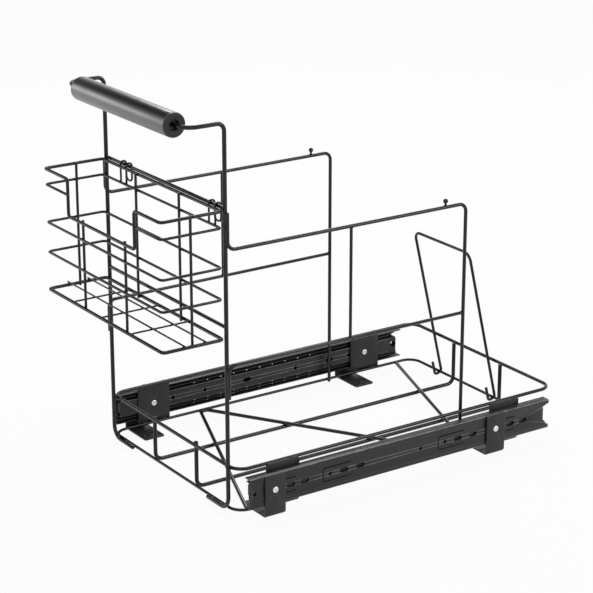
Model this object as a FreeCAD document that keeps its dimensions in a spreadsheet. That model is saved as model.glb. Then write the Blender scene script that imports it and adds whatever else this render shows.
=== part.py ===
import FreeCAD, Part
import math
import os
import Sketcher

# Pull-out bin frame for a base cabinet: a wire tray on two ball-bearing slides that are
# screwed to the cabinet floor through four brackets. Millimetres, +Z up, the front at -Y.
# The origin is on the cabinet floor, in the middle of the eight floor screw holes.

Vector = FreeCAD.Vector
Placement = FreeCAD.Placement
Rotation = FreeCAD.Rotation

# Driving sizes: name, millimetres (degrees where it says so), meaning.
SIZES = [
    # Floor brackets
    ("bracket_spacing", 300.0, "front to rear bracket, centre to centre"),
    ("bracket_width", 26.0, "bracket along the slide"),
    ("bracket_sheet", 1.8, "bracket sheet"),
    ("bracket_reach", 46.4, "flange from the outer face inwards"),
    ("bracket_bend", 2.6, "outside radius of the bend"),
    ("bracket_corner", 4.0, "radius of the rear lower corner"),
    ("floor_hole", 4.5, "floor screw hole"),
    ("floor_hole_pitch", 14.0, "two holes of one flange, along the slide"),
    ("floor_hole_inset", 35.5, "outer face to the floor holes"),
    ("bracket_setback", 38.0, "front rail of the tray to the front bracket's centre"),
    # Slides
    ("slide_height", 35.0, "slide, overall height"),
    ("slide_length", 410.0, "slide, closed"),
    ("slide_depth", 10.9, "slide, overall thickness"),
    ("slide_lift", 12.5, "floor to the underside of the slide"),
    ("slide_setback", 7.5, "front rail of the tray to the front end of the slide"),
    ("outer_sheet", 1.1, "outer member's sheet"),
    ("outer_joggle", 0.5, "middle of the outer web set in by this"),
    ("outer_edge", 4.2, "height of the proud strip along each edge of the outer web"),
    ("outer_bend", 1.0, "outside radius of the outer member's bends"),
    ("race_edge", 1.5, "tray side of the slide to the open edges of outer and middle member"),
    ("middle_sheet", 1.0, "middle member's sheet"),
    ("middle_web_gap", 1.0, "outer web to middle web"),
    ("middle_setback", 1.0, "front end of the slide to the middle member"),
    ("inner_sheet", 1.2, "inner member's sheet"),
    ("inner_depth", 6.0, "inner member, overall thickness"),
    ("inner_setback", 4.5, "front end of the slide to the inner member"),
    ("ball", 2.8, "ball diameter"),
    ("ball_clearance", 0.1, "ball to each race and to its cage hole"),
    ("ball_pitch", 18.5, "ball to ball"),
    ("cage_sheet", 0.4, "cage sheet"),
    ("cage_gap", 0.3, "middle member's web to either cage's web"),
    ("cage_setback", 97.5, "front end of the slide to both cages"),
    ("cage_length", 185.0, "cage length"),
    ("end_gap", 1.0, "moving members to the rear bumper"),
    ("rear_bumper_setback", 16.5, "rear end of the slide to the front of the rear bumper"),
    ("rear_bumper_length", 10.0, "rear bumper along the slide"),
    ("rear_bumper_height", 20.0, "rear bumper height"),
    ("rear_bumper_hole", 9.0, "hole in the rear bumper"),
    ("front_bumper_lip", 1.0, "front bumper ahead of the inner member"),
    ("front_bumper_height", 11.8, "front bumper height"),
    ("front_bumper_plug", 12.0, "front bumper inside the inner member"),
    ("rear_notch", 8.5, "depth of the notch at the rear end of the outer web"),
    ("slot_length", 11.4, "slots in the outer web"),
    ("slot_height", 5.2, "slots in the outer web"),
    ("emboss_height", 0.3, "raised lines on the outer web"),
    ("emboss_line", 1.0, "width of the raised lines"),
    ("emboss_span", 16.5, "height between the outsides of a pair of raised lines"),
    # Tray rings and tabs
    ("ring_half_width", 133.5, "centre line of either side rail of both rings"),
    ("ring_depth", 434.0, "front rail to rear rail, centre lines"),
    ("ring_corner", 16.0, "corner radius of both rings"),
    ("lower_ring_height", 7.0, "lower ring above the floor"),
    ("upper_ring_height", 54.5, "upper ring above the floor"),
    ("lower_ring_wire", 3.4, "lower ring wire"),
    ("upper_ring_wire", 4.0, "upper ring wire"),
    ("tab_sheet", 1.8, "tab sheet"),
    ("tab_width", 42.0, "tab along the slide"),
    ("tab_height", 50.0, "tab height"),
    ("tab_lift", 5.0, "floor to the tab's lower edge"),
    ("tab_corner", 3.0, "tab corner radius"),
    ("tab_setback", 56.0, "front rail to the front tab's centre"),
    ("tab_spacing", 304.0, "front to rear tab"),
    # Screws
    ("screw_shank", 4.0, "screw shank"),
    ("screw_fit", 0.1, "clearance round a shank"),
    ("screw_head", 7.2, "screw head"),
    ("screw_crown", 5.0, "flat top of the screw head"),
    ("screw_head_height", 1.2, "screw head"),
    # Handle frame
    ("handle_wire", 4.6, "handle frame wire"),
    ("post_half_spacing", 123.0, "either post from the middle"),
    ("handle_height", 430.0, "grip axis above the floor"),
    ("handle_reach", 50.5, "grip axis ahead of the front rail"),
    ("foot_bend", 14.0, "bend between post and foot"),
    ("shoulder_bend", 8.4, "bend at the top of the post"),
    ("handle_bend", 16.0, "bend beside the grip"),
    ("left_foot_end", 80.0, "end of the left foot from the middle"),
    ("right_foot_end", 80.5, "end of the right foot from the middle"),
    ("cross_bar_wire", 4.0, "cross bars"),
    ("upper_cross_bar_height", 339.35, "upper cross bar above the floor"),
    ("upper_cross_bar_setback", 2.1, "upper cross bar behind the posts' centre line"),
    ("lower_cross_bar_height", 213.1, "lower cross bar above the floor"),
    # Side frames
    ("top_rail_wire", 4.0, "top rail and rear post"),
    ("top_rail_height", 297.6, "top rail above the floor"),
    ("top_rail_leg", 40.0, "leg on the post, up from the top rail"),
    ("rear_post_setback", 302.0, "front rail to the rear post"),
    ("rear_post_bottom", 5.0, "end of the rear post above the floor"),
    ("second_rail_wire", 3.8, "second rail"),
    ("second_rail_height", 171.3, "second rail above the floor"),
    ("second_rail_leg", 37.0, "leg on the post, down from the second rail"),
    ("rail_bend", 9.0, "bends of both rails"),
    ("middle_post_wire", 3.4, "middle post"),
    ("middle_post_setback", 149.0, "front rail to the middle post"),
    ("knob_setback", 273.9, "front rail to the knob"),
    ("knob_ball", 5.6, "knob"),
    ("knob_rise", 7.0, "top rail's centre line to the knob's centre"),
    ("knob_stem", 2.6, "knob's stem"),
    # Floor wires and brace
    ("floor_wire", 4.6, "floor wires"),
    ("floor_wire_half_spacing", 44.5, "either floor wire from the middle"),
    ("floor_wire_height", 2.7, "floor wires above the floor"),
    ("floor_wire_bend", 9.0, "bends of the floor wires"),
    ("floor_wire_top", 1.0, "tops of the floor wires above the upper ring's centre line"),
    ("floor_wire_poke", 1.3, "front end of the right floor wire stands up by this much more"),
    ("brace_wire", 4.2, "floor brace"),
    ("brace_bend", 4.0, "bends of the floor brace"),
    ("brace_start", 12.6, "front rail to the brace's front end, on the right"),
    ("brace_left", 116.0, "front rail to where it meets the left side rail"),
    ("brace_left_run", 9.5, "its run along the left side rail, corner to corner"),
    ("brace_right", 287.3, "front rail to its run past the right rear post"),
    ("brace_right_run", 29.4, "its run past the right rear post, corner to corner"),
    ("brace_end", 407.0, "front rail to its rear end, on the left"),
    # Rear stop
    ("stop_wire", 3.5, "rear stop wire"),
    ("stop_left", -81.0, "left leg"),
    ("stop_right", 24.5, "right leg"),
    ("stop_lean", 13.6, "degrees that the legs lean forward"),
    ("stop_rise", 192.6, "hinge line to the top bar, along the legs"),
    ("stop_corner", 10.0, "bends beside the top bar"),
    ("stop_hook_half_width", 5.1, "hinge line to either side of the hook"),
    ("stop_hook_drop", 3.75, "hinge line to the bottom of the hook"),
    ("stop_hook_bend", 3.4, "bends of the hook"),
    ("stop_hook_tip", 14.5, "hinge line to the tip, along the legs"),
    # Grip
    ("grip_diameter", 26.2, "grip"),
    ("grip_half_length", 96.6, "half the grip, between the plugs' end faces"),
    ("grip_shift", 7.8, "middle of the grip to the right of the middle"),
    ("grip_wall", 2.0, "grip tube wall"),
    ("plug_lip", 1.5, "plug lip outside the tube"),
    ("plug_lip_inset", 0.2, "lip smaller than the tube, on the radius"),
    ("plug_length", 14.0, "plug inside the tube"),
    ("plug_fit", 0.05, "plug to tube, on the radius"),
    ("plug_running_fit", 0.08, "plug bore to the handle wire, on the radius"),
    ("plug_recess", 11.0, "recess in the plug's face"),
    ("plug_recess_depth", 5.0, "recess in the plug's face"),
    # Basket
    ("basket_half_width", 121.4, "inner face of either side"),
    ("basket_depth", 68.2, "inner face to inner face, front to back"),
    ("basket_corner", 4.5, "corner radius of the rings"),
    ("hang_gap", 0.3, "basket to posts and hooks to cross bar"),
    ("rim_wire", 3.6, "rim"),
    ("ring_wire", 3.0, "second, third and fourth ring"),
    ("bottom_ring_wire", 3.9, "bottom ring"),
    ("rim_below_bar", 0.85, "upper cross bar to the rim"),
    ("second_ring_drop", 17.8, "rim to second ring"),
    ("third_ring_drop", 60.5, "rim to third ring"),
    ("fourth_ring_drop", 94.6, "rim to fourth ring"),
    ("bottom_ring_drop", 137.8, "rim to bottom ring"),
    ("dip_half_width", 71.0, "either side of the dip from the middle"),
    ("dip_depth", 41.5, "rim to the bottom of the dip"),
    ("dip_bend", 4.0, "bends of the dip"),
    ("upright_wire", 3.0, "uprights"),
    ("upright_half_spacing", 45.0, "front and back uprights from the middle"),
    ("side_upright_setback", 33.1, "side uprights from the inner face of the back"),
    ("upright_poke", 0.2, "front uprights above the dip"),
    ("mesh_wire", 2.0, "floor wires of the basket"),
    ("mesh_pitch", 62.0, "front-to-back floor wires"),
    ("mesh_shift", -4.4, "middle front-to-back floor wire from the middle"),
    ("mesh_overhang", 0.8, "side-to-side floor wires past the bottom ring"),
    ("mesh_front_setback", 45.5, "front side-to-side wire from the inner face of the back"),
    ("mesh_back_setback", 20.5, "back side-to-side wire from the inner face of the back"),
    ("hook_wire", 2.3, "basket hooks"),
    ("hook_width", 12.2, "leg to leg of one hook"),
    ("hook_leg_below_ring", 2.4, "second ring to the ends of the front legs"),
    ("hook_hang", 17.75, "upper cross bar to the bottom of the rear loop"),
    ("hook_loop_bend", 5.0, "bends of the rear loop"),
    ("left_hook", -88.3, "left hook's outer leg"),
    ("right_hook", 94.3, "right hook's inner leg"),
]

BALLS_IN_A_ROW = 10

# Openings and raised lines of the slides: the mark that each is measured from, how far
# behind it, and a hole's diameter or a line's length.
OUTER_SLOTS = (("front screw", 21.2), ("front screw", 38.9), ("front screw", 90.7), ("front screw", 112.4),
               ("rear screw", -53.0), ("rear screw", -31.9), ("rear screw", 22.7), ("rear screw", 41.3))
OUTER_HOLES = (("front end", 5.3, 5.0), ("front screw", 72.0, 4.5), ("rear screw", -105.6, 4.0),
               ("rear screw", -71.6, 4.5))
RAISED_LINES = (("front screw", 14.5, 12.5), ("rear screw", 16.5, 12.5))
RAISED_FRAMES = (("front screw", 62.4, 37.6), ("rear screw", -81.4, 37.6))
INNER_HOLES = (("front tab", 26.9, 5.0), ("front tab", 71.5, 4.5), ("rear tab", -102.5, 4.5),
               ("rear tab", -22.5, 5.0))
INNER_SLOTS = (("front tab", 131.0), ("rear tab", -52.5))

document = FreeCAD.newDocument("PullOutBinFrame")
sheet = document.addObject("Spreadsheet::Sheet", "dims")
for row, (name, number, meaning) in enumerate(SIZES, 1):
    sheet.set(f"A{row}", name)
    sheet.set(f"B{row}", str(number))
    sheet.set(f"C{row}", meaning)
    sheet.setAlias(f"B{row}", name)
document.recompute()

# Places that several pieces share, as expressions over the sheet.
RING_FRONT = "(-dims.bracket_spacing / 2 - dims.bracket_setback)"
RING_REAR = f"({RING_FRONT} + dims.ring_depth)"
RING_INSIDE = "(dims.ring_half_width - dims.lower_ring_wire / 2)"
TAB_X = "(dims.ring_half_width + dims.upper_ring_wire / 2)"
SLIDE_X = f"({TAB_X} + dims.tab_sheet)"
SLIDE_OUTSIDE = f"({SLIDE_X} + dims.slide_depth)"
OUTER_FACE = f"({SLIDE_OUTSIDE} + dims.bracket_sheet)"
SLIDE_FRONT = f"({RING_FRONT} + dims.slide_setback)"
SLIDE_REAR = f"({SLIDE_FRONT} + dims.slide_length)"
SLIDE_TOP = "(dims.slide_lift + dims.slide_height)"
SLIDE_MIDDLE = "(dims.slide_lift + dims.slide_height / 2)"
POST_Y = f"({RING_FRONT} - dims.upper_ring_wire / 2 - dims.handle_wire / 2)"
UPPER_BAR_Y = f"({POST_Y} + dims.upper_cross_bar_setback)"
GRIP_Y = f"({RING_FRONT} - dims.handle_reach)"
RAIL_FRONT_X = "(dims.post_half_spacing + dims.handle_wire / 2 + dims.top_rail_wire / 2)"
RAIL_REAR_X = "(dims.ring_half_width - dims.upper_ring_wire / 2 - dims.top_rail_wire / 2)"
RAIL_RUN = f"({RING_FRONT} + dims.rear_post_setback - {POST_Y})"
RAIL_SKEW = f"(({RAIL_REAR_X} - {RAIL_FRONT_X}) / {RAIL_RUN})"
RAIL_LENGTH = f"sqrt({RAIL_RUN} * {RAIL_RUN} + pow({RAIL_REAR_X} - {RAIL_FRONT_X}; 2))"
BASKET_BACK = f"({POST_Y} - dims.handle_wire / 2 - dims.hang_gap - dims.rim_wire)"
BASKET_FRONT = f"({BASKET_BACK} - dims.basket_depth)"
RIM_HEIGHT = "(dims.upper_cross_bar_height - dims.rim_below_bar)"
BOTTOM_RING_HEIGHT = f"({RIM_HEIGHT} - dims.bottom_ring_drop)"
SECOND_RING_HEIGHT = f"({RIM_HEIGHT} - dims.second_ring_drop)"
DIP_HEIGHT = f"({RIM_HEIGHT} - dims.dip_depth)"

# Slide section: distances from the tray side of the slide, and heights from its underside.
OUTER_WEB = "(dims.slide_depth - dims.outer_joggle - dims.outer_sheet)"
MIDDLE_OUT = f"({OUTER_WEB} - dims.middle_web_gap)"
MIDDLE_WEB = f"({MIDDLE_OUT} - dims.middle_sheet)"
MIDDLE_LOW = "(dims.outer_sheet + dims.ball + 2 * dims.ball_clearance)"
INNER_LOW = f"({MIDDLE_LOW} + dims.middle_sheet + dims.ball + 2 * dims.ball_clearance)"
OUTER_ROW = "(dims.outer_sheet + dims.ball_clearance + dims.ball / 2)"
INNER_ROW = f"({MIDDLE_LOW} + dims.middle_sheet + dims.ball_clearance + dims.ball / 2)"
MEMBER_REAR = f"({SLIDE_REAR} - dims.rear_bumper_setback - dims.end_gap)"
INNER_FRONT = f"({SLIDE_FRONT} + dims.inner_setback)"
CAGE_FRONT = f"({SLIDE_FRONT} + dims.cage_setback)"
MARKS = {
    "front end": SLIDE_FRONT,
    "front screw": "(-dims.bracket_spacing / 2)",
    "rear screw": "(dims.bracket_spacing / 2)",
    "front tab": f"({RING_FRONT} + dims.tab_setback)",
    "rear tab": f"({RING_FRONT} + dims.tab_setback + dims.tab_spacing)",
}

ORIGIN_PLANES = {"XY": "XY_Plane", "XZ": "XZ_Plane", "YZ": "YZ_Plane"}
nodes = []


def value(expression):
    """Return the number that an expression over the sheet has now."""
    result = sheet.evalExpression(expression)
    return float(getattr(result, "Value", result))


def keep(item):
    """Hand in an object as a piece of its own, under its label."""
    nodes.append(item)
    return item


def bind(item, **expressions):
    """Bind properties to expressions; two underscores stand for a dot."""
    for name, expression in expressions.items():
        item.setExpression(name.replace("__", "."), expression)
    return item


def new_sketch(body, name, plane, offset):
    """Start a sketch on one of the body's own planes, moved along that plane's normal."""
    sketch = body.newObject("Sketcher::SketchObject", name)
    planes = [item for item in body.Origin.OriginFeatures if item.Role == ORIGIN_PLANES[plane]]
    sketch.AttachmentSupport = [(planes[0], "")]
    sketch.MapMode = "FlatFace"
    sketch.setExpression("AttachmentOffset.Base.z", offset)
    return sketch


def bound(sketch, kind, *arguments):
    """Add a constraint whose last argument is an expression."""
    *geometry, expression = arguments
    index = sketch.addConstraint(Sketcher.Constraint(kind, *geometry, value(expression)))
    sketch.setExpression(f"Constraints[{index}]", expression)


def pin(sketch, item, position, corner):
    """Hold one point of a sketch at two expressions."""
    bound(sketch, "DistanceX", -1, 1, item, position, corner[0])
    bound(sketch, "DistanceY", -1, 1, item, position, corner[1])


def run_direction(points, index):
    """Return the unit direction from one corner to the next."""
    step = points[(index + 1) % len(points)] - points[index % len(points)]
    return step.normalize()


def bend_cut(points, index, radius):
    """Return how far before a corner its tangent arc begins."""
    turn = run_direction(points, index - 1).getAngle(run_direction(points, index))
    return radius * math.tan(turn / 2)


def draw_path(sketch, corners, bends, closed=True):
    """Draw straight runs through the corners, with a tangent arc where a bend is given.

    Each corner is a pair of expressions and each bend an expression, or None if it is
    sharp. One expression stands for all the bends.
    """
    count = len(corners)
    if isinstance(bends, str):
        bends = [bends] * count
    points = [Vector(value(u), value(v), 0) for u, v in corners]
    radii = [value(bend) if bend else 0.0 for bend in bends]
    if not closed:
        radii[0] = radii[-1] = 0.0
    runs = count if closed else count - 1
    lines = []
    arcs = {}
    for start in range(runs):
        end = (start + 1) % count
        along = run_direction(points, start)
        first = points[start] + along * (bend_cut(points, start, radii[start]) if radii[start] else 0)
        last = points[end] - along * (bend_cut(points, end, radii[end]) if radii[end] else 0)
        lines.append(sketch.addGeometry(Part.LineSegment(first, last), False))
        if radii[end]:
            onward = run_direction(points, end)
            left = along.cross(onward).z > 0
            side = Vector(-along.y, along.x, 0) * (1 if left else -1)
            centre = last + side * radii[end]
            finish = points[end] + onward * bend_cut(points, end, radii[end])
            begin, stop = (last, finish) if left else (finish, last)
            circle = Part.Circle(centre, Vector(0, 0, 1), radii[end])
            angles = [math.atan2(p.y - centre.y, p.x - centre.x) for p in (begin, stop)]
            arcs[end] = (sketch.addGeometry(Part.ArcOfCircle(circle, *angles), False), left)
    for index in range(count):
        before = lines[index - 1] if closed or index else None
        after = lines[index] if closed or index < runs else None
        if index in arcs:
            arc, left = arcs[index]
            corner = sketch.addGeometry(Part.Point(points[index]), True)
            pin(sketch, corner, 1, corners[index])
            for line in (before, after):
                sketch.addConstraint(Sketcher.Constraint("PointOnObject", corner, 1, line))
            ends = (1, 2) if left else (2, 1)
            sketch.addConstraint(Sketcher.Constraint("Tangent", before, 2, arc, ends[0]))
            sketch.addConstraint(Sketcher.Constraint("Tangent", arc, ends[1], after, 1))
            bound(sketch, "Radius", arc, bends[index])
        elif after is None:
            pin(sketch, before, 2, corners[index])
        else:
            pin(sketch, after, 1, corners[index])
            if before is not None:
                sketch.addConstraint(Sketcher.Constraint("Coincident", before, 2, after, 1))


def draw_circle(sketch, centre, diameter):
    """Draw a circle with its centre and diameter bound."""
    place = Vector(value(centre[0]), value(centre[1]), 0)
    circle = Part.Circle(place, Vector(0, 0, 1), value(diameter) / 2)
    item = sketch.addGeometry(circle, False)
    pin(sketch, item, 3, centre)
    bound(sketch, "Diameter", item, diameter)


def draw_slot(sketch, centre, length, height):
    """Draw a level slot with round ends, length and height overall."""
    u, v = (value(part) for part in centre)
    radius = value(height) / 2
    reach = value(length) / 2 - radius
    up = Vector(0, 0, 1)
    half = math.pi / 2
    back = Part.ArcOfCircle(Part.Circle(Vector(u - reach, v, 0), up, radius), half, 3 * half)
    front = Part.ArcOfCircle(Part.Circle(Vector(u + reach, v, 0), up, radius), -half, half)
    top = Part.LineSegment(Vector(u + reach, v + radius, 0), Vector(u - reach, v + radius, 0))
    base = Part.LineSegment(Vector(u - reach, v - radius, 0), Vector(u + reach, v - radius, 0))
    a, b, c, d = (sketch.addGeometry(shape, False) for shape in (back, base, front, top))
    for first, end, second, start in ((a, 2, b, 1), (b, 2, c, 1), (c, 2, d, 1), (d, 2, a, 1)):
        sketch.addConstraint(Sketcher.Constraint("Tangent", first, end, second, start))
    sketch.addConstraint(Sketcher.Constraint("Equal", a, c))
    offset = f"({length} - {height}) / 2"
    pin(sketch, a, 3, (f"{centre[0]} - {offset}", centre[1]))
    pin(sketch, c, 3, (f"{centre[0]} + {offset}", centre[1]))
    bound(sketch, "Radius", a, f"{height} / 2")


def new_body(label):
    """Start a body under its label."""
    body = document.addObject("PartDesign::Body", label)
    body.Label = label
    return body


def add_pad(body, sketch, length):
    """Pad a sketch along its plane's normal."""
    pad = body.newObject("PartDesign::Pad", f"{body.Name}_pad")
    pad.Profile = sketch
    pad.setExpression("Length", length)
    document.recompute()
    return pad


def add_cut(body, sketch, depth):
    """Cut a sketch to both sides of its plane, over the given depth in all."""
    before = body.Shape.Volume
    pocket = body.newObject("PartDesign::Pocket", f"{body.Name}_cut")
    pocket.Profile = sketch
    pocket.Midplane = True
    pocket.setExpression("Length", depth)
    document.recompute()
    if not body.Shape.Volume < before - 1e-6:
        raise RuntimeError(f"{body.Label}: the cut took nothing away")
    return pocket


def wire_body(label, plane, offset, corners, bend, wire, closed=False):
    """Bend a round wire along a flat path."""
    body = new_body(label)
    path = new_sketch(body, f"{label}_path", plane, offset)
    draw_path(path, corners, bend, closed)
    document.recompute()
    section = body.newObject("Sketcher::SketchObject", f"{label}_section")
    section.AttachmentSupport = [(path, "Edge1")]
    section.MapMode = "NormalToEdge"
    draw_circle(section, ("0", "0"), wire)
    pipe = body.newObject("PartDesign::AdditivePipe", f"{label}_pipe")
    pipe.Profile = section
    pipe.Spine = (path, [])
    document.recompute()
    return body


def spatial_wire(label, corners, bends, wire, closed=False):
    """Bend a round wire in space: straight runs joined by tangent arcs.

    The corners are triples of expressions, and each bend is one expression.
    """
    points = [Vector(*[value(part) for part in corner]) for corner in corners]
    radii = [value(bend) if bend else 0.0 for bend in bends]
    count = len(points)
    edges = []
    for start in range(count if closed else count - 1):
        end = (start + 1) % count
        along = run_direction(points, start)
        first = points[start] + along * (bend_cut(points, start, radii[start]) if radii[start] else 0)
        last = points[end] - along * (bend_cut(points, end, radii[end]) if radii[end] else 0)
        edges.append(Part.LineSegment(first, last).toShape())
        if radii[end]:
            onward = run_direction(points, end)
            turn = along.getAngle(onward)
            inward = (onward - along).normalize()
            crown = points[end] + inward * radii[end] * (1 / math.cos(turn / 2) - 1)
            finish = points[end] + onward * bend_cut(points, end, radii[end])
            edges.append(Part.Arc(last, crown, finish).toShape())
    path = Part.Wire(edges)
    normal = run_direction(points, 0)
    begin = edges[0].Vertexes[0].Point
    ring = Part.Wire([Part.Circle(begin, normal, value(wire) / 2).toShape()])
    item = document.addObject("Part::Feature", label)
    item.Label = label
    item.Shape = path.makePipeShell([ring], True, False)
    expected = math.pi * (value(wire) / 2) ** 2 * path.Length
    if abs(item.Shape.Volume / expected - 1) > 1e-3:
        raise RuntimeError(f"{label}: volume {item.Shape.Volume}, expected {expected}")
    return item


def rod(label, axis, start, length, wire):
    """Make a straight round wire along an axis from its start."""
    item = document.addObject("Part::Cylinder", label)
    item.Label = label
    turn = {"X": Rotation(Vector(0, 1, 0), 90), "Y": Rotation(Vector(1, 0, 0), -90), "Z": Rotation()}
    item.Placement = Placement(Vector(), turn[axis])
    bind(item, Radius=f"{wire} / 2", Height=length)
    place(item, start)
    return item


def place(item, position):
    """Bind where an object stands."""
    for axis, expression in zip("xyz", position):
        item.setExpression(f"Placement.Base.{axis}", expression)
    return item


def boolean(kind, label, first, *others):
    """Join or cut document objects; the result takes the label."""
    item = document.addObject(f"Part::{kind}", label)
    if kind in ("MultiFuse", "MultiCommon"):
        item.Shapes = [first, *others]
    elif kind == "Compound":
        item.Links = [first, *others]
    else:
        item.Base, item.Tool = first, others[0]
    item.Label = label
    document.recompute()
    return item


def mirrored(source, label):
    """Mirror a right-hand piece to the left."""
    item = document.addObject("Part::Mirroring", label)
    item.Source = source
    item.Normal = Vector(1, 0, 0)
    item.Label = label
    document.recompute()
    return item


def pair(source, base_name, pattern="{side}_{name}"):
    """Keep a right-hand piece and its mirror image."""
    source.Label = pattern.format(side="right", name=base_name)
    keep(source)
    keep(mirrored(source, pattern.format(side="left", name=base_name)))


def across(distance):
    """Return the x of a point of the slide's section, from its tray side."""
    return f"{SLIDE_X} + {distance}"


def above(height):
    """Return the z of a point of the slide's section, from its underside."""
    return f"dims.slide_lift + {height}"


def channel(label, open_edge, web_inside, web_outside, low, sheet_size, bend, front, length):
    """Pad a channel that opens towards the tray, evenly about the slide's middle."""
    body = new_body(label)
    top = f"dims.slide_height - {low}"
    corners = [
        (open_edge, low),
        (web_outside, low),
        (web_outside, top),
        (open_edge, top),
        (open_edge, f"{top} - {sheet_size}"),
        (web_inside, f"{top} - {sheet_size}"),
        (web_inside, f"{low} + {sheet_size}"),
        (open_edge, f"{low} + {sheet_size}"),
    ]
    bends = [None, bend, bend, None, None, None, None, None]
    sketch = new_sketch(body, f"{label}_section", "XZ", f"-({front}) - ({length})")
    draw_path(sketch, [(across(u), above(v)) for u, v in corners], bends)
    document.recompute()
    add_pad(body, sketch, length)
    return body


# Slides, right hand; the left ones are their mirror images.
def make_outer_member():
    """Make the cabinet member: a channel with a set-in web, slots and raised lines."""
    body = new_body("right_slide_outer")
    proud_in = "dims.slide_depth - dims.outer_sheet"
    proud_out = "dims.slide_depth"
    set_in = OUTER_WEB
    set_out = "dims.slide_depth - dims.outer_joggle"
    full = "dims.slide_height"
    edge = "dims.outer_edge"
    corners = [
        ("dims.race_edge / 3", "0"),
        (proud_out, "0"),
        (proud_out, edge),
        (set_out, f"{edge} + dims.outer_joggle"),
        (set_out, f"{full} - {edge} - dims.outer_joggle"),
        (proud_out, f"{full} - {edge}"),
        (proud_out, full),
        ("dims.race_edge / 3", full),
        ("dims.race_edge / 3", f"{full} - dims.outer_sheet"),
        (proud_in, f"{full} - dims.outer_sheet"),
        (proud_in, f"{full} - {edge}"),
        (set_in, f"{full} - {edge} - dims.outer_joggle"),
        (set_in, f"{edge} + dims.outer_joggle"),
        (proud_in, edge),
        (proud_in, "dims.outer_sheet"),
        ("dims.race_edge / 3", "dims.outer_sheet"),
    ]
    bends = [None] * len(corners)
    bends[1] = bends[6] = "dims.outer_bend"
    section = new_sketch(body, "outer_section", "XZ", f"-{SLIDE_REAR}")
    draw_path(section, [(across(u), above(v)) for u, v in corners], bends)
    document.recompute()
    add_pad(body, section, "dims.slide_length")

    face = across(set_out)
    cuts = new_sketch(body, "outer_slots", "YZ", face)
    for mark, behind in OUTER_SLOTS:
        draw_slot(cuts, (f"{MARKS[mark]} + {behind}", SLIDE_MIDDLE), "dims.slot_length", "dims.slot_height")
    for mark, behind, diameter in OUTER_HOLES:
        draw_circle(cuts, (f"{MARKS[mark]} + {behind}", SLIDE_MIDDLE), str(diameter))
    for mark in ("front screw", "rear screw"):
        draw_circle(cuts, (MARKS[mark], SLIDE_MIDDLE), "dims.screw_shank + 2 * dims.screw_fit")
    document.recompute()
    add_cut(body, cuts, "4 * dims.outer_sheet")

    notch = new_sketch(body, "outer_notch", "YZ", face)
    bottom = f"{SLIDE_REAR} - dims.rear_notch"
    past = f"{SLIDE_REAR} + 1"
    low = above("dims.outer_edge + dims.outer_joggle")
    high = above("dims.slide_height - dims.outer_edge - dims.outer_joggle")
    rise = "dims.rear_notch / 3"
    draw_path(notch, [(bottom, f"{low} + {rise}"), (past, low), (past, high), (bottom, f"{high} - {rise}")],
              [None] * 4)
    document.recompute()
    add_cut(body, notch, "4 * dims.outer_sheet")

    raised = new_sketch(body, "outer_raised_lines", "YZ", face)
    half = "dims.emboss_span / 2"
    line = "dims.emboss_line"
    for mark, behind, length in RAISED_LINES:
        front = f"{MARKS[mark]} + {behind}"
        for base in (f"{SLIDE_MIDDLE} - {half}", f"{SLIDE_MIDDLE} + {half} - {line}"):
            ends = [(front, base), (f"{front} + {length}", base)]
            tops = [(u, f"{v} + {line}") for u, v in reversed(ends)]
            draw_path(raised, ends + tops, [None] * 4)
    for mark, behind, length in RAISED_FRAMES:
        front = f"{MARKS[mark]} + {behind}"
        back = f"{front} + {length}"
        low, high = f"{SLIDE_MIDDLE} - {half}", f"{SLIDE_MIDDLE} + {half}"
        frame = [
            (back, high), (front, high), (front, low), (back, low),
            (back, f"{low} + {line}"), (f"{front} + {line}", f"{low} + {line}"),
            (f"{front} + {line}", f"{high} - {line}"), (back, f"{high} - {line}"),
        ]
        outside, inside = "3 * dims.emboss_line", "2 * dims.emboss_line"
        draw_path(raised, frame, [None, outside, outside, None, None, inside, inside, None])
    document.recompute()
    add_pad(body, raised, "dims.emboss_height")
    return body


outer = make_outer_member()
pair(outer, "slide_outer")

middle = channel(
    "right_slide_middle", "dims.race_edge", MIDDLE_WEB, MIDDLE_OUT, MIDDLE_LOW, "dims.middle_sheet",
    "dims.middle_sheet", f"{SLIDE_FRONT} + dims.middle_setback",
    f"{MEMBER_REAR} - {SLIDE_FRONT} - dims.middle_setback")
pair(middle, "slide_middle")

# The inner member opens the other way: its web lies on the tabs.
inner = channel(
    "right_slide_inner", "dims.inner_depth", "dims.inner_sheet", "0", INNER_LOW, "dims.inner_sheet",
    "dims.inner_sheet / 2", INNER_FRONT, f"{MEMBER_REAR} - {INNER_FRONT}")
inner_cuts = new_sketch(inner, "inner_holes", "YZ", SLIDE_X)
for mark, behind, diameter in INNER_HOLES:
    draw_circle(inner_cuts, (f"{MARKS[mark]} + {behind}", SLIDE_MIDDLE), str(diameter))
for mark, behind in INNER_SLOTS:
    draw_slot(inner_cuts, (f"{MARKS[mark]} + {behind}", SLIDE_MIDDLE), "dims.slot_length", "dims.slot_height")
for mark in ("front tab", "rear tab"):
    draw_circle(inner_cuts, (MARKS[mark], SLIDE_MIDDLE), "dims.screw_shank + 2 * dims.screw_fit")
document.recompute()
add_cut(inner, inner_cuts, "4 * dims.inner_sheet")
pair(inner, "slide_inner")


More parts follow.
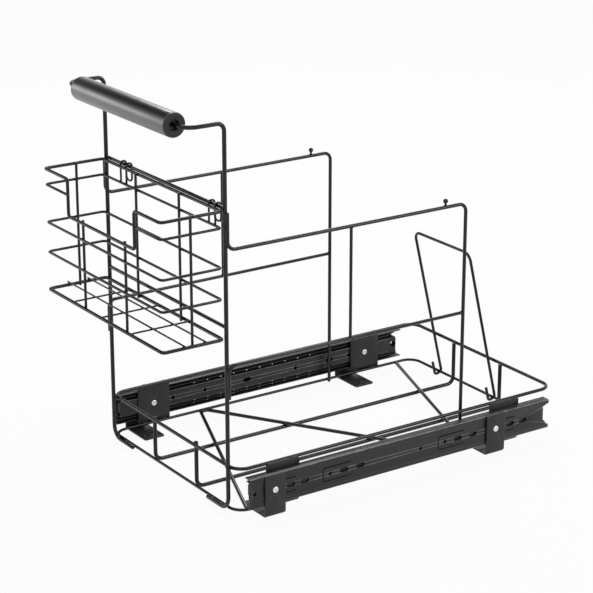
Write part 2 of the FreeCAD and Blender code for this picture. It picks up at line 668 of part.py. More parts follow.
def make_cage(label, web_near, row, ball_across):
    """Make a cage: a thin channel with a row of ball holes in each flange, and its balls."""
    low = f"{row} - dims.cage_sheet / 2"
    body = channel(f"{label}_strip", "dims.race_edge", web_near, f"{web_near} + dims.cage_sheet", low,
                   "dims.cage_sheet", None, CAGE_FRONT, "dims.cage_length")
    first = f"{CAGE_FRONT} + (dims.cage_length - {BALLS_IN_A_ROW - 1} * dims.ball_pitch) / 2"
    holes = new_sketch(body, f"{label}_holes", "XY", SLIDE_MIDDLE)
    places = [f"{first} + {index} * dims.ball_pitch" for index in range(BALLS_IN_A_ROW)]
    for spot in places:
        draw_circle(holes, (across(ball_across), spot), "dims.ball + 2 * dims.ball_clearance")
    document.recompute()
    add_cut(body, holes, "dims.slide_height")
    balls = []
    for height in (row, f"(dims.slide_height - {row})"):
        for spot in places:
            ball = document.addObject("Part::Sphere", f"{label}_ball")
            bind(ball, Radius="dims.ball / 2")
            balls.append(place(ball, (across(ball_across), spot, above(height))))
    document.recompute()
    return boolean("Compound", label, body, *balls)


outer_cage = make_cage(
    "right_outer_ball_cage", f"{MIDDLE_OUT} + dims.cage_gap", OUTER_ROW,
    f"(dims.race_edge + {MIDDLE_OUT}) / 2")
pair(outer_cage, "outer_ball_cage")
inner_cage = make_cage(
    "right_inner_ball_cage", f"{MIDDLE_WEB} - dims.cage_gap - dims.cage_sheet", INNER_ROW,
    "(dims.race_edge + dims.inner_depth) / 2")
pair(inner_cage, "inner_ball_cage")

rear_bumper = new_body("right_rear_bumper")
bumper_front = f"{SLIDE_REAR} - dims.rear_bumper_setback"
bumper_back = f"{bumper_front} + dims.rear_bumper_length"
bumper_low = f"{SLIDE_MIDDLE} - dims.rear_bumper_height / 2"
bumper_high = f"{SLIDE_MIDDLE} + dims.rear_bumper_height / 2"
bumper_face = new_sketch(rear_bumper, "rear_bumper_face", "YZ", across("dims.race_edge"))
draw_path(bumper_face, [(bumper_front, bumper_low), (bumper_back, bumper_low),
                        (bumper_back, bumper_high), (bumper_front, bumper_high)],
          [None, "dims.rear_bumper_length / 3", "dims.rear_bumper_length / 3", None])
draw_circle(bumper_face, (f"{bumper_front} + dims.rear_bumper_length / 2", SLIDE_MIDDLE),
            "min(dims.rear_bumper_hole; 0.8 * dims.rear_bumper_length)")
document.recompute()
add_pad(rear_bumper, bumper_face, f"{OUTER_WEB} - dims.race_edge")
pair(rear_bumper, "rear_bumper")

front_bumper = new_body("right_front_bumper")
bumper_plan = new_sketch(front_bumper, "front_bumper_plan", "XY",
                         f"{SLIDE_MIDDLE} - dims.front_bumper_height / 3")
lip_front = f"{INNER_FRONT} - dims.front_bumper_lip"
plug_end = f"{INNER_FRONT} + dims.front_bumper_plug"
draw_path(bumper_plan, [
    (across("0"), lip_front), (across("dims.inner_depth"), lip_front),
    (across("dims.inner_depth"), plug_end), (across("dims.inner_sheet"), plug_end),
    (across("dims.inner_sheet"), INNER_FRONT), (across("0"), INNER_FRONT)],
    ["0.6 * dims.front_bumper_lip", "0.6 * dims.front_bumper_lip", None, None, None, None])
document.recompute()
add_pad(front_bumper, bumper_plan, "dims.front_bumper_height")
pair(front_bumper, "front_bumper")


# Floor brackets: an upright on the slide and a flange that runs in along the floor.
def make_bracket(end, sign):
    """Make the right-hand bracket at one end of the slide."""
    body = new_body(f"{end}_right_floor_bracket")
    centre = f"({sign} * dims.bracket_spacing / 2)"
    inside = f"{OUTER_FACE} - dims.bracket_reach"
    corners = [
        (inside, "0"), (OUTER_FACE, "0"), (OUTER_FACE, SLIDE_TOP), (SLIDE_OUTSIDE, SLIDE_TOP),
        (SLIDE_OUTSIDE, "dims.bracket_sheet"), (inside, "dims.bracket_sheet"),
    ]
    section = new_sketch(body, f"{end}_bracket_section", "XZ", f"-{centre} - dims.bracket_width / 2")
    draw_path(section, corners,
              [None, "dims.bracket_bend", None, None, "dims.bracket_bend - dims.bracket_sheet", None])
    document.recompute()
    add_pad(body, section, "dims.bracket_width")
    holes = new_sketch(body, f"{end}_floor_holes", "XY", "dims.bracket_sheet / 2")
    for side in ("-", "+"):
        spot = f"{centre} {side} dims.floor_hole_pitch / 2"
        draw_circle(holes, (f"{OUTER_FACE} - dims.floor_hole_inset", spot), "dims.floor_hole")
    document.recompute()
    add_cut(body, holes, "2 * dims.bracket_sheet")
    upright = new_sketch(body, f"{end}_bracket_screw_hole", "YZ", f"{OUTER_FACE} - dims.bracket_sheet / 2")
    draw_circle(upright, (centre, SLIDE_MIDDLE), "dims.screw_shank + 2 * dims.screw_fit")
    document.recompute()
    add_cut(body, upright, "2 * dims.bracket_sheet")
    trim = new_sketch(body, f"{end}_bracket_corner", "YZ", f"{OUTER_FACE} - dims.bracket_sheet / 2")
    back = f"{centre} + dims.bracket_width / 2"
    radius = "dims.bracket_corner"
    draw_path(trim, [(f"{back} - {radius}", "-1"), (f"{back} + 1", "-1"), (f"{back} + 1", radius),
                     (back, radius), (f"{back} - {radius} * 0.293", f"{radius} * 0.293"),
                     (f"{back} - {radius}", "0")],
              [None] * 6)
    document.recompute()
    add_cut(body, trim, "4 * dims.bracket_bend")
    pair(body, "floor_bracket", end + "_{side}_{name}")


make_bracket("front", "-1")
make_bracket("rear", "1")


def make_tab(end, setback):
    """Make the right-hand tab that joins both rings to the inner member."""
    body = new_body(f"{end}_right_tab")
    centre = f"{RING_FRONT} + {setback}"
    plate = new_sketch(body, f"{end}_tab_plate", "YZ", TAB_X)
    front, back = f"{centre} - dims.tab_width / 2", f"{centre} + dims.tab_width / 2"
    low, high = "dims.tab_lift", "dims.tab_lift + dims.tab_height"
    draw_path(plate, [(front, low), (back, low), (back, high), (front, high)], "dims.tab_corner")
    draw_circle(plate, (centre, SLIDE_MIDDLE), "dims.screw_shank + 2 * dims.screw_fit")
    document.recompute()
    add_pad(body, plate, "dims.tab_sheet")
    pair(body, "tab", end + "_{side}_{name}")


make_tab("front", "dims.tab_setback")
make_tab("rear", "dims.tab_setback + dims.tab_spacing")


def make_screws(label, places, face, through, outward):
    """Make the two screws of one slide: a domed head on a face and a shank through the sheets."""
    solids = []
    for spot in places:
        shank = document.addObject("Part::Cylinder", f"{label}_shank")
        head = document.addObject("Part::Cone", f"{label}_head")
        axis = Rotation(Vector(0, 1, 0), 90 if outward else -90)
        for item in (shank, head):
            item.Placement = Placement(Vector(), axis)
        bind(shank, Radius="dims.screw_shank / 2", Height=through)
        bind(head, Radius1="dims.screw_head / 2", Radius2="dims.screw_crown / 2",
             Height="dims.screw_head_height")
        sign = "-" if outward else "+"
        place(shank, (f"{face} {sign} ({through})", spot, SLIDE_MIDDLE))
        place(head, (face, spot, SLIDE_MIDDLE))
        document.recompute()
        solids.append(boolean("MultiFuse", f"{label}_one", shank, head))
    return boolean("Compound", label, *solids)


bracket_screws = make_screws(
    "right_bracket_screws", (MARKS["front screw"], MARKS["rear screw"]), OUTER_FACE,
    "dims.bracket_sheet + dims.outer_joggle + dims.outer_sheet", True)
pair(bracket_screws, "bracket_screws")
tab_screws = make_screws(
    "right_tab_screws", (MARKS["front tab"], MARKS["rear tab"]), TAB_X,
    "dims.tab_sheet + dims.inner_sheet", False)
pair(tab_screws, "tab_screws")

# Rings of the tray.
ring_corners = [
    ("-dims.ring_half_width", RING_FRONT), ("dims.ring_half_width", RING_FRONT),
    ("dims.ring_half_width", RING_REAR), ("-dims.ring_half_width", RING_REAR),
]
lower_ring, upper_ring = [
    keep(wire_body(f"{level}_ring", "XY", f"dims.{level}_ring_height", ring_corners,
                   "dims.ring_corner", f"dims.{level}_ring_wire", closed=True))
    for level in ("lower", "upper")
]

# Handle frame: foot, post, shoulder, grip run and back down, one wire.
post_x = "dims.post_half_spacing"
handle_corners = [
    ("-dims.left_foot_end", POST_Y, "dims.lower_ring_height"),
    (f"-{post_x}", POST_Y, "dims.lower_ring_height"),
    (f"-{post_x}", POST_Y, "dims.handle_height"),
    (f"-{post_x}", GRIP_Y, "dims.handle_height"),
    (post_x, GRIP_Y, "dims.handle_height"),
    (post_x, POST_Y, "dims.handle_height"),
    (post_x, POST_Y, "dims.lower_ring_height"),
    ("dims.right_foot_end", POST_Y, "dims.lower_ring_height"),
]
handle_bends = [None, "dims.foot_bend", "dims.shoulder_bend", "dims.handle_bend",
                "dims.handle_bend", "dims.shoulder_bend", "dims.foot_bend", None]
handle_frame = keep(spatial_wire("handle_frame", handle_corners, handle_bends, "dims.handle_wire"))

for level, bar_y in (("upper", UPPER_BAR_Y), ("lower", POST_Y)):
    bar = rod(f"{level}_bar_blank", "X", (f"-{post_x}", bar_y, f"dims.{level}_cross_bar_height"),
              f"2 * {post_x}", "dims.cross_bar_wire")
    document.recompute()
    keep(boolean("Cut", f"{level}_cross_bar", bar, handle_frame))


# Side frames: each lies in an upright plane from the outside of the post to the inside of the rings.
def on_rail_plane(body):
    """Stand a body's YZ plane on the right-hand side frame's plane."""
    body.Placement = Placement(Vector(), Rotation(Vector(0, 0, -1), 1))
    place(body, (RAIL_FRONT_X, POST_Y, "0"))
    body.setExpression("Placement.Rotation.Angle", f"atan({RAIL_SKEW})")
    document.recompute()
    return body


def rail_spot(setback, height):
    """Return a point of the side frame's plane, from its distance behind the front rail."""
    return (f"{RAIL_FRONT_X} + {RAIL_SKEW} * ({RING_FRONT} + {setback} - {POST_Y})",
            f"{RING_FRONT} + {setback}", height)


top_rail = on_rail_plane(wire_body(
    "right_top_rail", "YZ", "0",
    [("0", "dims.top_rail_height + dims.top_rail_leg"), ("0", "dims.top_rail_height"),
     (RAIL_LENGTH, "dims.top_rail_height"), (RAIL_LENGTH, "dims.rear_post_bottom")],
    "dims.rail_bend", "dims.top_rail_wire"))
pair(top_rail, "top_rail")
second_blank = on_rail_plane(wire_body(
    "second_rail_blank", "YZ", "0",
    [("0", "dims.second_rail_height - dims.second_rail_leg"), ("0", "dims.second_rail_height"),
     (RAIL_LENGTH, "dims.second_rail_height")],
    "dims.rail_bend", "dims.second_rail_wire"))
second_rail = boolean("Cut", "right_second_rail", second_blank, top_rail)
pair(second_rail, "second_rail")

middle_blank = rod("middle_post_blank", "Z", rail_spot("dims.middle_post_setback", "dims.second_rail_height"),
                   "dims.top_rail_height - dims.second_rail_height", "dims.middle_post_wire")
document.recompute()
rails = boolean("MultiFuse", "both_right_rails", top_rail, second_rail)
pair(boolean("Cut", "right_middle_post", middle_blank, rails), "middle_post")

knob_stem = rod("knob_stem", "Z", rail_spot("dims.knob_setback", "dims.top_rail_height"),
                "dims.knob_rise", "dims.knob_stem")
knob_ball = document.addObject("Part::Sphere", "knob_ball")
bind(knob_ball, Radius="dims.knob_ball / 2")
place(knob_ball, rail_spot("dims.knob_setback", "dims.top_rail_height + dims.knob_rise"))
document.recompute()
knob_blank = boolean("MultiFuse", "knob_blank", knob_stem, knob_ball)
pair(boolean("Cut", "right_rail_knob", knob_blank, top_rail), "rail_knob")

# Floor wires and the zigzag brace that lies on them.
wire_front = f"{RING_FRONT} + dims.upper_ring_wire / 2 + dims.floor_wire / 2"
wire_rear = f"{RING_REAR} - dims.upper_ring_wire / 2 - dims.floor_wire / 2"
wire_top = "dims.upper_ring_height + dims.floor_wire_top"
for side, sign, poke in (("left", "-", ""), ("right", "", " + dims.floor_wire_poke")):
    keep(wire_body(
        f"{side}_floor_wire", "YZ", f"{sign}dims.floor_wire_half_spacing",
        [(wire_front, wire_top + poke), (wire_front, "dims.floor_wire_height"),
         (wire_rear, "dims.floor_wire_height"), (wire_rear, wire_top)],
        "dims.floor_wire_bend", "dims.floor_wire"))

brace_width = f"(2 * {RING_INSIDE})"
brace_height = "dims.floor_wire_height + dims.floor_wire / 2 + dims.brace_wire / 2"
brace_left_x = f"({RING_INSIDE} - dims.brace_wire / 2)"
brace_right_x = f"({RAIL_REAR_X} - dims.top_rail_wire / 2 - dims.brace_wire / 2)"
brace_blank = wire_body(
    "floor_brace_blank", "XY", brace_height,
    [("dims.ring_half_width", f"{RING_FRONT} + dims.brace_start"),
     (f"-{brace_left_x}", f"{RING_FRONT} + dims.brace_left"),
     (f"-{brace_left_x}", f"{RING_FRONT} + dims.brace_left + dims.brace_left_run"),
     (brace_right_x, f"{RING_FRONT} + dims.brace_right"),
     (brace_right_x, f"{RING_FRONT} + dims.brace_right + dims.brace_right_run"),
     ("-dims.ring_half_width", f"{RING_FRONT} + dims.brace_end")],
    "dims.brace_bend", "dims.brace_wire")
ring_space = document.addObject("Part::Box", "space_inside_ring")
bind(ring_space, Length=brace_width, Width="dims.ring_depth", Height="dims.upper_ring_height")
place(ring_space, (f"-{RING_INSIDE}", RING_FRONT, "0"))
document.recompute()
brace_in_ring = boolean("MultiCommon", "brace_inside_ring", brace_blank, ring_space)
keep(boolean("Cut", "floor_brace", brace_in_ring, lower_ring))

# Rear stop: hooked round the lower ring's rear rail, leaning forward.
hook = "dims.stop_hook_half_width"
drop = "-dims.stop_hook_drop"
stop_corners = []
for leg, order in (("dims.stop_left", 1), ("dims.stop_right", -1)):
    leg_corners = [(leg, f"-{hook}", "dims.stop_hook_tip"), (leg, f"-{hook}", drop), (leg, hook, drop),
                   (leg, hook, "dims.stop_rise")]
    stop_corners += leg_corners[::order]
hook_bend = "dims.stop_hook_bend"
rear_stop = keep(spatial_wire(
    "rear_stop", stop_corners,
    [None, hook_bend, hook_bend, "dims.stop_corner", "dims.stop_corner", hook_bend, hook_bend, None],
    "dims.stop_wire"))
rear_stop.Placement = Placement(Vector(), Rotation(Vector(1, 0, 0), 1))
place(rear_stop, ("0", RING_REAR, "dims.lower_ring_height"))
rear_stop.setExpression("Placement.Rotation.Angle", "dims.stop_lean * 1 deg")
document.recompute()

# Grip: a tube with a plug at each end that turns on the handle wire.
tube_half = "dims.grip_half_length - dims.plug_lip"
tube_start = (f"dims.grip_shift - ({tube_half})", GRIP_Y, "dims.handle_height")
tube_outside = rod("grip_outside", "X", tube_start, f"2 * ({tube_half})", "dims.grip_diameter")
tube_inside = rod("grip_inside", "X", tube_start, f"2 * ({tube_half})",
                  "(dims.grip_diameter - 2 * dims.grip_wall)")
document.recompute()
keep(boolean("Cut", "grip_tube", tube_outside, tube_inside))

plug = new_body("right_grip_plug")
plug_profile = new_sketch(plug, "plug_profile", "XZ", "0")
bore = "dims.handle_wire / 2 + dims.plug_running_fit"
body_radius = "dims.grip_diameter / 2 - dims.grip_wall - dims.plug_fit"
lip_radius = "dims.grip_diameter / 2 - dims.plug_lip_inset"
plug_start = f"{tube_half} - dims.plug_length"
recess_start = "dims.grip_half_length - dims.plug_recess_depth"
draw_path(plug_profile, [
    (plug_start, bore), (recess_start, bore), (recess_start, "dims.plug_recess / 2"),
    ("dims.grip_half_length", "dims.plug_recess / 2"), ("dims.grip_half_length", lip_radius),
    (tube_half, lip_radius), (tube_half, body_radius), (plug_start, body_radius)],
    [None, None, None, None, "dims.plug_lip / 2", None, None, None])
document.recompute()
turned = plug.newObject("PartDesign::Revolution", "plug_turned")
turned.Profile = plug_profile
turned.ReferenceAxis = (plug_profile, ["H_Axis"])
turned.Angle = 360
place(plug, ("dims.grip_shift", GRIP_Y, "dims.handle_height"))
document.recompute()
keep(plug)
left_plug = keep(mirrored(plug, "left_grip_plug"))
bind(left_plug, Base__x="dims.grip_shift")


# Basket: rings of wire that all lie on the outside of the uprights.
def basket_ring(wire):
    """Return a ring's four corners, its centre line half a wire outside the inner faces."""
    side = f"dims.basket_half_width + {wire} / 2"
    front, back = f"{BASKET_FRONT} - {wire} / 2", f"{BASKET_BACK} + {wire} / 2"
    return side, front, back


side, front, back = basket_ring("dims.rim_wire")
dip = "dims.dip_half_width"
corner, dip_bend = "dims.basket_corner", "dims.dip_bend"
rim = keep(spatial_wire(
    "basket_rim",
    [("0", back, RIM_HEIGHT), (f"-({side})", back, RIM_HEIGHT), (f"-({side})", front, RIM_HEIGHT),
     (f"-{dip}", front, RIM_HEIGHT), (f"-{dip}", front, DIP_HEIGHT), (dip, front, DIP_HEIGHT),
     (dip, front, RIM_HEIGHT), (side, front, RIM_HEIGHT), (side, back, RIM_HEIGHT)],
    [None, corner, corner, dip_bend, dip_bend, dip_bend, dip_bend, corner, corner],
    "dims.rim_wire", closed=True))

side, front, back = basket_ring("dims.ring_wire")
second_ring = wire_body(
    "second_ring_blank", "XY", SECOND_RING_HEIGHT,
    [(f"-{dip}", front), (f"-({side})", front), (f"-({side})", back), (side, back), (side, front),
     (dip, front)],
    corner, "dims.ring_wire")
keep(boolean("Cut", "basket_second_ring", second_ring, rim))
for name, wire in (("third", "ring_wire"), ("fourth", "ring_wire"), ("bottom", "bottom_ring_wire")):
    side, front, back = basket_ring(f"dims.{wire}")
    ring = keep(wire_body(
        f"basket_{name}_ring", "XY", f"{RIM_HEIGHT} - dims.{name}_ring_drop",
        [(f"-({side})", front), (side, front), (side, back), (f"-({side})", back)],
        corner, f"dims.{wire}", closed=True))
bottom_ring = ring

upright_low = f"{BOTTOM_RING_HEIGHT} - dims.bottom_ring_wire / 2"
upright_front = f"{BASKET_FRONT} + dims.upright_wire / 2"
upright_back = f"{BASKET_BACK} - dims.upright_wire / 2"
upright_side = "(dims.basket_half_width - dims.upright_wire / 2)"
upright_groups = (
    ("front", ("-dims.upright_half_spacing", upright_front), ("dims.upright_half_spacing", upright_front),
     f"{DIP_HEIGHT} + dims.rim_wire / 2 + dims.upright_poke"),
    ("back", ("-dims.upright_half_spacing", upright_back), ("dims.upright_half_spacing", upright_back),
     f"{RIM_HEIGHT} + dims.rim_wire / 2"),
    ("side", (f"-{upright_side}", f"{BASKET_BACK} - dims.side_upright_setback"),
     (upright_side, f"{BASKET_BACK} - dims.side_upright_setback"), f"{RIM_HEIGHT} + dims.rim_wire / 2"),
)
for name, first, second, top in upright_groups:
    rods = [rod(f"{name}_upright", "Z", (*spot, upright_low), f"{top} - ({upright_low})",
                "dims.upright_wire") for spot in (first, second)]
    document.recompute()
    keep(boolean("Compound", f"basket_{name}_uprights", *rods))

cross_height = f"{BOTTOM_RING_HEIGHT} + dims.bottom_ring_wire / 2 + dims.mesh_wire / 2"
cross_reach = "(dims.basket_half_width + dims.bottom_ring_wire + dims.mesh_overhang)"
cross_wires = [
    rod("cross_wire", "X", (f"-{cross_reach}", f"{BASKET_BACK} - dims.{spot}", cross_height),
        f"2 * {cross_reach}", "dims.mesh_wire")
    for spot in ("mesh_front_setback", "mesh_back_setback")
]
document.recompute()
keep(boolean("Compound", "basket_floor_cross_wires", *cross_wires))
long_wires = []
for step in ("-1", "0", "1"):
    blank = rod("long_wire_blank", "Y",
                (f"dims.mesh_shift + {step} * dims.mesh_pitch", f"{BASKET_FRONT} - dims.bottom_ring_wire / 2",
                 f"{cross_height} - dims.mesh_wire"),
                "dims.basket_depth + dims.bottom_ring_wire", "dims.mesh_wire")
    document.recompute()
    long_wires.append(boolean("Cut", "long_wire", blank, bottom_ring))
keep(boolean("Compound", "basket_floor_long_wires", *long_wires))

hook_front = f"({BASKET_BACK} + dims.rim_wire + dims.hook_wire / 2)"
hook_top = "dims.upper_cross_bar_height + dims.cross_bar_wire / 2 + dims.hook_wire / 2 + dims.hang_gap"
hook_rear = f"({UPPER_BAR_Y} + dims.cross_bar_wire / 2 + dims.hook_wire / 2 + dims.hang_gap)"
hook_low = f"{SECOND_RING_HEIGHT} - dims.hook_leg_below_ring"
hook_loop = "dims.upper_cross_bar_height - dims.hook_hang"
for hand in ("left", "right"):
    near = f"dims.{hand}_hook"
    far = f"{near} + dims.hook_width"
    corners = [(near, hook_front, hook_low), (near, hook_front, hook_top), (near, hook_rear, hook_top),
               (near, hook_rear, hook_loop), (far, hook_rear, hook_loop), (far, hook_rear, hook_top),
               (far, hook_front, hook_top), (far, hook_front, hook_low)]
    over, loop = f"(0.48 * ({hook_rear} - {hook_front}))", "dims.hook_loop_bend"
    keep(spatial_wire(f"{hand}_basket_hook", corners, [None, over, over, loop, loop, over, over, None],
                      "dims.hook_wire"))

# Every object must be sound before anything is written.
document.recompute()
for item in document.Objects:
    if "Invalid" in item.State or "Error" in item.State:
        raise RuntimeError(f"{item.Label}: {item.State}")
os.makedirs("parts", exist_ok=True)
labels = [item.Label for item in nodes]
if len(set(labels)) != len(labels) or len(labels) > 60:
    raise RuntimeError(f"labels are repeated or too many: {sorted(labels)}")
for item in nodes:
    if item.Shape.isNull() or not item.Shape.isValid() or not item.Shape.Solids:
        raise RuntimeError(f"{item.Label}: not a sound solid")
for item in nodes:
    item.Shape.exportStep(os.path.join("parts", f"{item.Label}.step"))
    box = item.Shape.optimalBoundingBox()
    print(f"{item.Label:28s} solids {len(item.Shape.Solids):3d} volume {item.Shape.Volume:10.1f}"
          f"  x {box.XMin:8.2f} {box.XMax:8.2f}  y {box.YMin:8.2f} {box.YMax:8.2f}"
          f"  z {box.ZMin:7.2f} {box.ZMax:7.2f}")
print(f"{len(nodes)} pieces")
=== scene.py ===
import logging
import math
import random
from dataclasses import dataclass, field
from enum import Enum
from typing import Any, Callable, Optional, Sequence

import bmesh
import bpy
from mathutils import Matrix, Vector


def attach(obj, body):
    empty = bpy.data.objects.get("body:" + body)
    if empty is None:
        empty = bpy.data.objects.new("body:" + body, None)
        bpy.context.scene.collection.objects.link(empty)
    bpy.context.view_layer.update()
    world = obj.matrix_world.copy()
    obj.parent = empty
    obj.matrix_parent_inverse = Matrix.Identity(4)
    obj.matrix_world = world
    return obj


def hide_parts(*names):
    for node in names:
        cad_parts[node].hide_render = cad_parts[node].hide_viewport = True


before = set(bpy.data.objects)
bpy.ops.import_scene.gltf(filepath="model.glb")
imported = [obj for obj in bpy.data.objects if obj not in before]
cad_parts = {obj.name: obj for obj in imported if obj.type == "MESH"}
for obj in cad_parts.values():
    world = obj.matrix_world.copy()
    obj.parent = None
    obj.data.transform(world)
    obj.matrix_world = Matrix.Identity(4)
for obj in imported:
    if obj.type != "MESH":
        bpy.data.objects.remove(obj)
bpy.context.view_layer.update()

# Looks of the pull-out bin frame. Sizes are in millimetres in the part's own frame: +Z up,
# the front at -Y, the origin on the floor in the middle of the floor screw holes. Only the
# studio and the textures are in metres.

LOG = logging.getLogger("bin_frame")
MM = 0.001
SHARP = math.radians(38)
QUARTER_TURN = math.pi / 2
TAB_PLACES = (-132.0, 172.0)

Point = tuple[float, float, float]
Flat = tuple[float, float]
Colour = tuple[float, float, float, float]
Socket = bpy.types.NodeSocket
Rim = list[bmesh.types.BMEdge]


class Coat(Enum):
    """Material slots of the record."""

    WIRE = "wire_coat"
    SHEET = "sheet_coat"
    SLIDE = "slide_coat"
    SCREW = "bright_screws"
    CAGE = "cage_steel"
    GRIP = "grip_metal"
    PLASTIC = "black_plastic"


class Hand(Enum):
    """Right or left of the part, as the sign of X."""

    RIGHT = 1
    LEFT = -1

    @property
    def word(self) -> str:
        """The hand's name as the nodes use it."""
        return self.name.lower()


# Finishes ---------------------------------------------------------------------------------

BUMP_UNIT = 0.0001
TONE_AMOUNT, TONE_DARK, TONE_ROUGH = 0.3, 0.72, 0.12
RUB_ROUGH, DUST_ROUGH, LINE_ROUGH = 0.15, 0.6, 0.5
DUST_TINT = (0.32, 0.31, 0.29, 1.0)


class Wiring:
    """Adds nodes and links to one node tree."""

    def __init__(self, tree: bpy.types.NodeTree) -> None:
        """Keep the tree.

        Args:
            tree: the node tree to fill.
        """
        self.tree = tree

    def add(self, kind: str, inputs: Optional[dict[Any, Any]] = None,
            **settings: Any) -> bpy.types.Node:
        """Add a node, set its properties and feed its inputs.

        Args:
            kind: the node's type name.
            inputs: input names or numbers with a value or the socket that feeds them.
            **settings: properties of the node.

        Returns:
            The node.
        """
        node = self.tree.nodes.new(kind)
        for name, setting in settings.items():
            setattr(node, name, setting)
        for key, value in (inputs or {}).items():
            if isinstance(value, bpy.types.NodeSocket):
                self.tree.links.new(value, node.inputs[key])
            else:
                node.inputs[key].default_value = value
        return node

    def noise(self, vector: Socket, scale: Any, detail: float = 2.0, rough: float = 0.5) -> Socket:
        """Add a noise texture and return its value."""
        feeds = {"Vector": vector, "Scale": scale, "Detail": detail, "Roughness": rough}
        return self.add("ShaderNodeTexNoise", feeds).outputs[0]

    def math(self, operation: str, first: Any, second: Any) -> Socket:
        """Add a math node and return its value."""
        return self.add("ShaderNodeMath", {0: first, 1: second}, operation=operation).outputs[0]

    def times(self, first: Any, second: Any) -> Socket:
        """Multiply two values."""
        return self.math("MULTIPLY", first, second)

    def plus(self, first: Any, second: Any) -> Socket:
        """Add two values."""
        return self.math("ADD", first, second)

    def mix(self, first: Socket, share: float, last: Socket) -> Socket:
        """Add a share of one value and the rest of another."""
        return self.plus(self.times(first, share), self.times(last, 1.0 - share))

    def spread(self, value: Socket, low: float, high: float, first: float = 0.0,
               last: Any = 1.0) -> Socket:
        """Map low..high to first..last, clamped."""
        feeds = {"Value": value, "From Min": low, "From Max": high, "To Min": first, "To Max": last}
        return self.add("ShaderNodeMapRange", feeds).outputs[0]

    def patches(self, vector: Socket, scale: Any, detail: float, rough: float, low: float,
                high: float, first: float = 0.0) -> Socket:
        """Add a noise and map low..high of it to first..1, clamped."""
        return self.spread(self.noise(vector, scale, detail, rough), low, high, first)

    def blend(self, mask: Socket, first: Any, last: Any) -> Socket:
        """Mix two colours by a mask."""
        feeds = {0: mask, 6: first, 7: last}
        return self.add("ShaderNodeMix", feeds, data_type="RGBA").outputs[2]

    def looks_up(self) -> Socket:
        """Return how far a face looks up, from -1 to 1."""
        normal = self.add("ShaderNodeNewGeometry").outputs["Normal"]
        return self.add("ShaderNodeSeparateXYZ", {0: normal}).outputs[2]

    def surface(self, shader: Socket) -> None:
        """End the tree of a material with its shader."""
        self.add("ShaderNodeOutputMaterial", {0: shader})


def bare_material(name: str) -> tuple[bpy.types.Material, Wiring]:
    """Make a material with an empty tree.

    Args:
        name: of the material.

    Returns:
        The material and the wiring of its tree.
    """
    material = bpy.data.materials.new(name)
    material.use_nodes = True
    material.node_tree.nodes.clear()
    return material, Wiring(material.node_tree)


class Effect(Enum):
    """Node groups that several finishes share, each with its name and usual fineness."""

    ORANGE_PEEL = ("orange peel", 900.0)
    TONE = ("uneven tone", 28.0)
    RUBS = ("rubs and specks", 260.0)
    DUST = ("settled dust", 90.0)
    DRAWN_LINES = ("drawn lines", 1.0)

    def tree(self) -> bpy.types.NodeTree:
        """Return the group's tree, building it the first time.

        Returns:
            The node tree, with Vector, Fineness and Amount, and one output.
        """
        name = self.value[0]
        known = bpy.data.node_groups.get(name)
        if known:
            return known
        tree = bpy.data.node_groups.new(name, "ShaderNodeTree")
        for socket, way, kind in (("Vector", "INPUT", "Vector"), ("Fineness", "INPUT", "Float"),
                                  ("Amount", "INPUT", "Float"), ("Mask", "OUTPUT", "Float")):
            tree.interface.new_socket(socket, in_out=way, socket_type="NodeSocket" + kind)
        wiring = Wiring(tree)
        vector, fineness, amount = wiring.add("NodeGroupInput").outputs[:3]
        mask = getattr(self, "_" + self.name.lower())(wiring, vector, fineness)
        wiring.add("NodeGroupOutput", {0: wiring.times(mask, amount)})
        return tree

    def place(self, wiring: Wiring, vector: Socket, amount: float,
              fineness: Optional[float] = None) -> Socket:
        """Place the group in the tree of a finish.

        Args:
            wiring: of that tree.
            vector: the coordinates.
            amount: factor of the mask.
            fineness: scale of the texture, where it isn't the usual one.

        Returns:
            The mask.
        """
        feeds = {"Vector": vector, "Fineness": fineness or self.value[1], "Amount": amount}
        return wiring.add("ShaderNodeGroup", feeds, node_tree=self.tree()).outputs[0]

    def _orange_peel(self, wiring: Wiring, vector: Socket, fineness: Socket) -> Socket:
        """Low soft waves of baked powder with a little grit."""
        grit = wiring.noise(vector, wiring.times(fineness, 4.7), 2.0, 0.6)
        return wiring.mix(wiring.noise(vector, fineness, 1.0, 0.4), 0.75, grit)

    def _tone(self, wiring: Wiring, vector: Socket, fineness: Socket) -> Socket:
        """Slow changes of tone over a few centimetres."""
        return wiring.patches(vector, fineness, 3.0, 0.55, 0.3, 0.7)

    def _rubs(self, wiring: Wiring, vector: Socket, fineness: Socket) -> Socket:
        """Scattered small rubbed spots, denser in a few places."""
        places = wiring.patches(vector, wiring.times(fineness, 0.12), 2.0, 0.5, 0.5, 0.72)
        return wiring.times(places, wiring.patches(vector, fineness, 4.0, 0.7, 0.56, 0.7))

    def _dust(self, wiring: Wiring, vector: Socket, fineness: Socket) -> Socket:
        """A thin uneven film on faces that look up."""
        film = wiring.patches(vector, fineness, 5.0, 0.65, 0.35, 0.75, 0.35)
        return wiring.times(wiring.spread(wiring.looks_up(), 0.35, 1.0), film)

    def _drawn_lines(self, wiring: Wiring, vector: Socket, fineness: Socket) -> Socket:
        """Fine lines; the finish stretches its coordinates along them."""
        bands = wiring.noise(vector, wiring.times(fineness, 0.18))
        return wiring.mix(wiring.noise(vector, fineness, 4.0, 0.7), 0.7, bands)


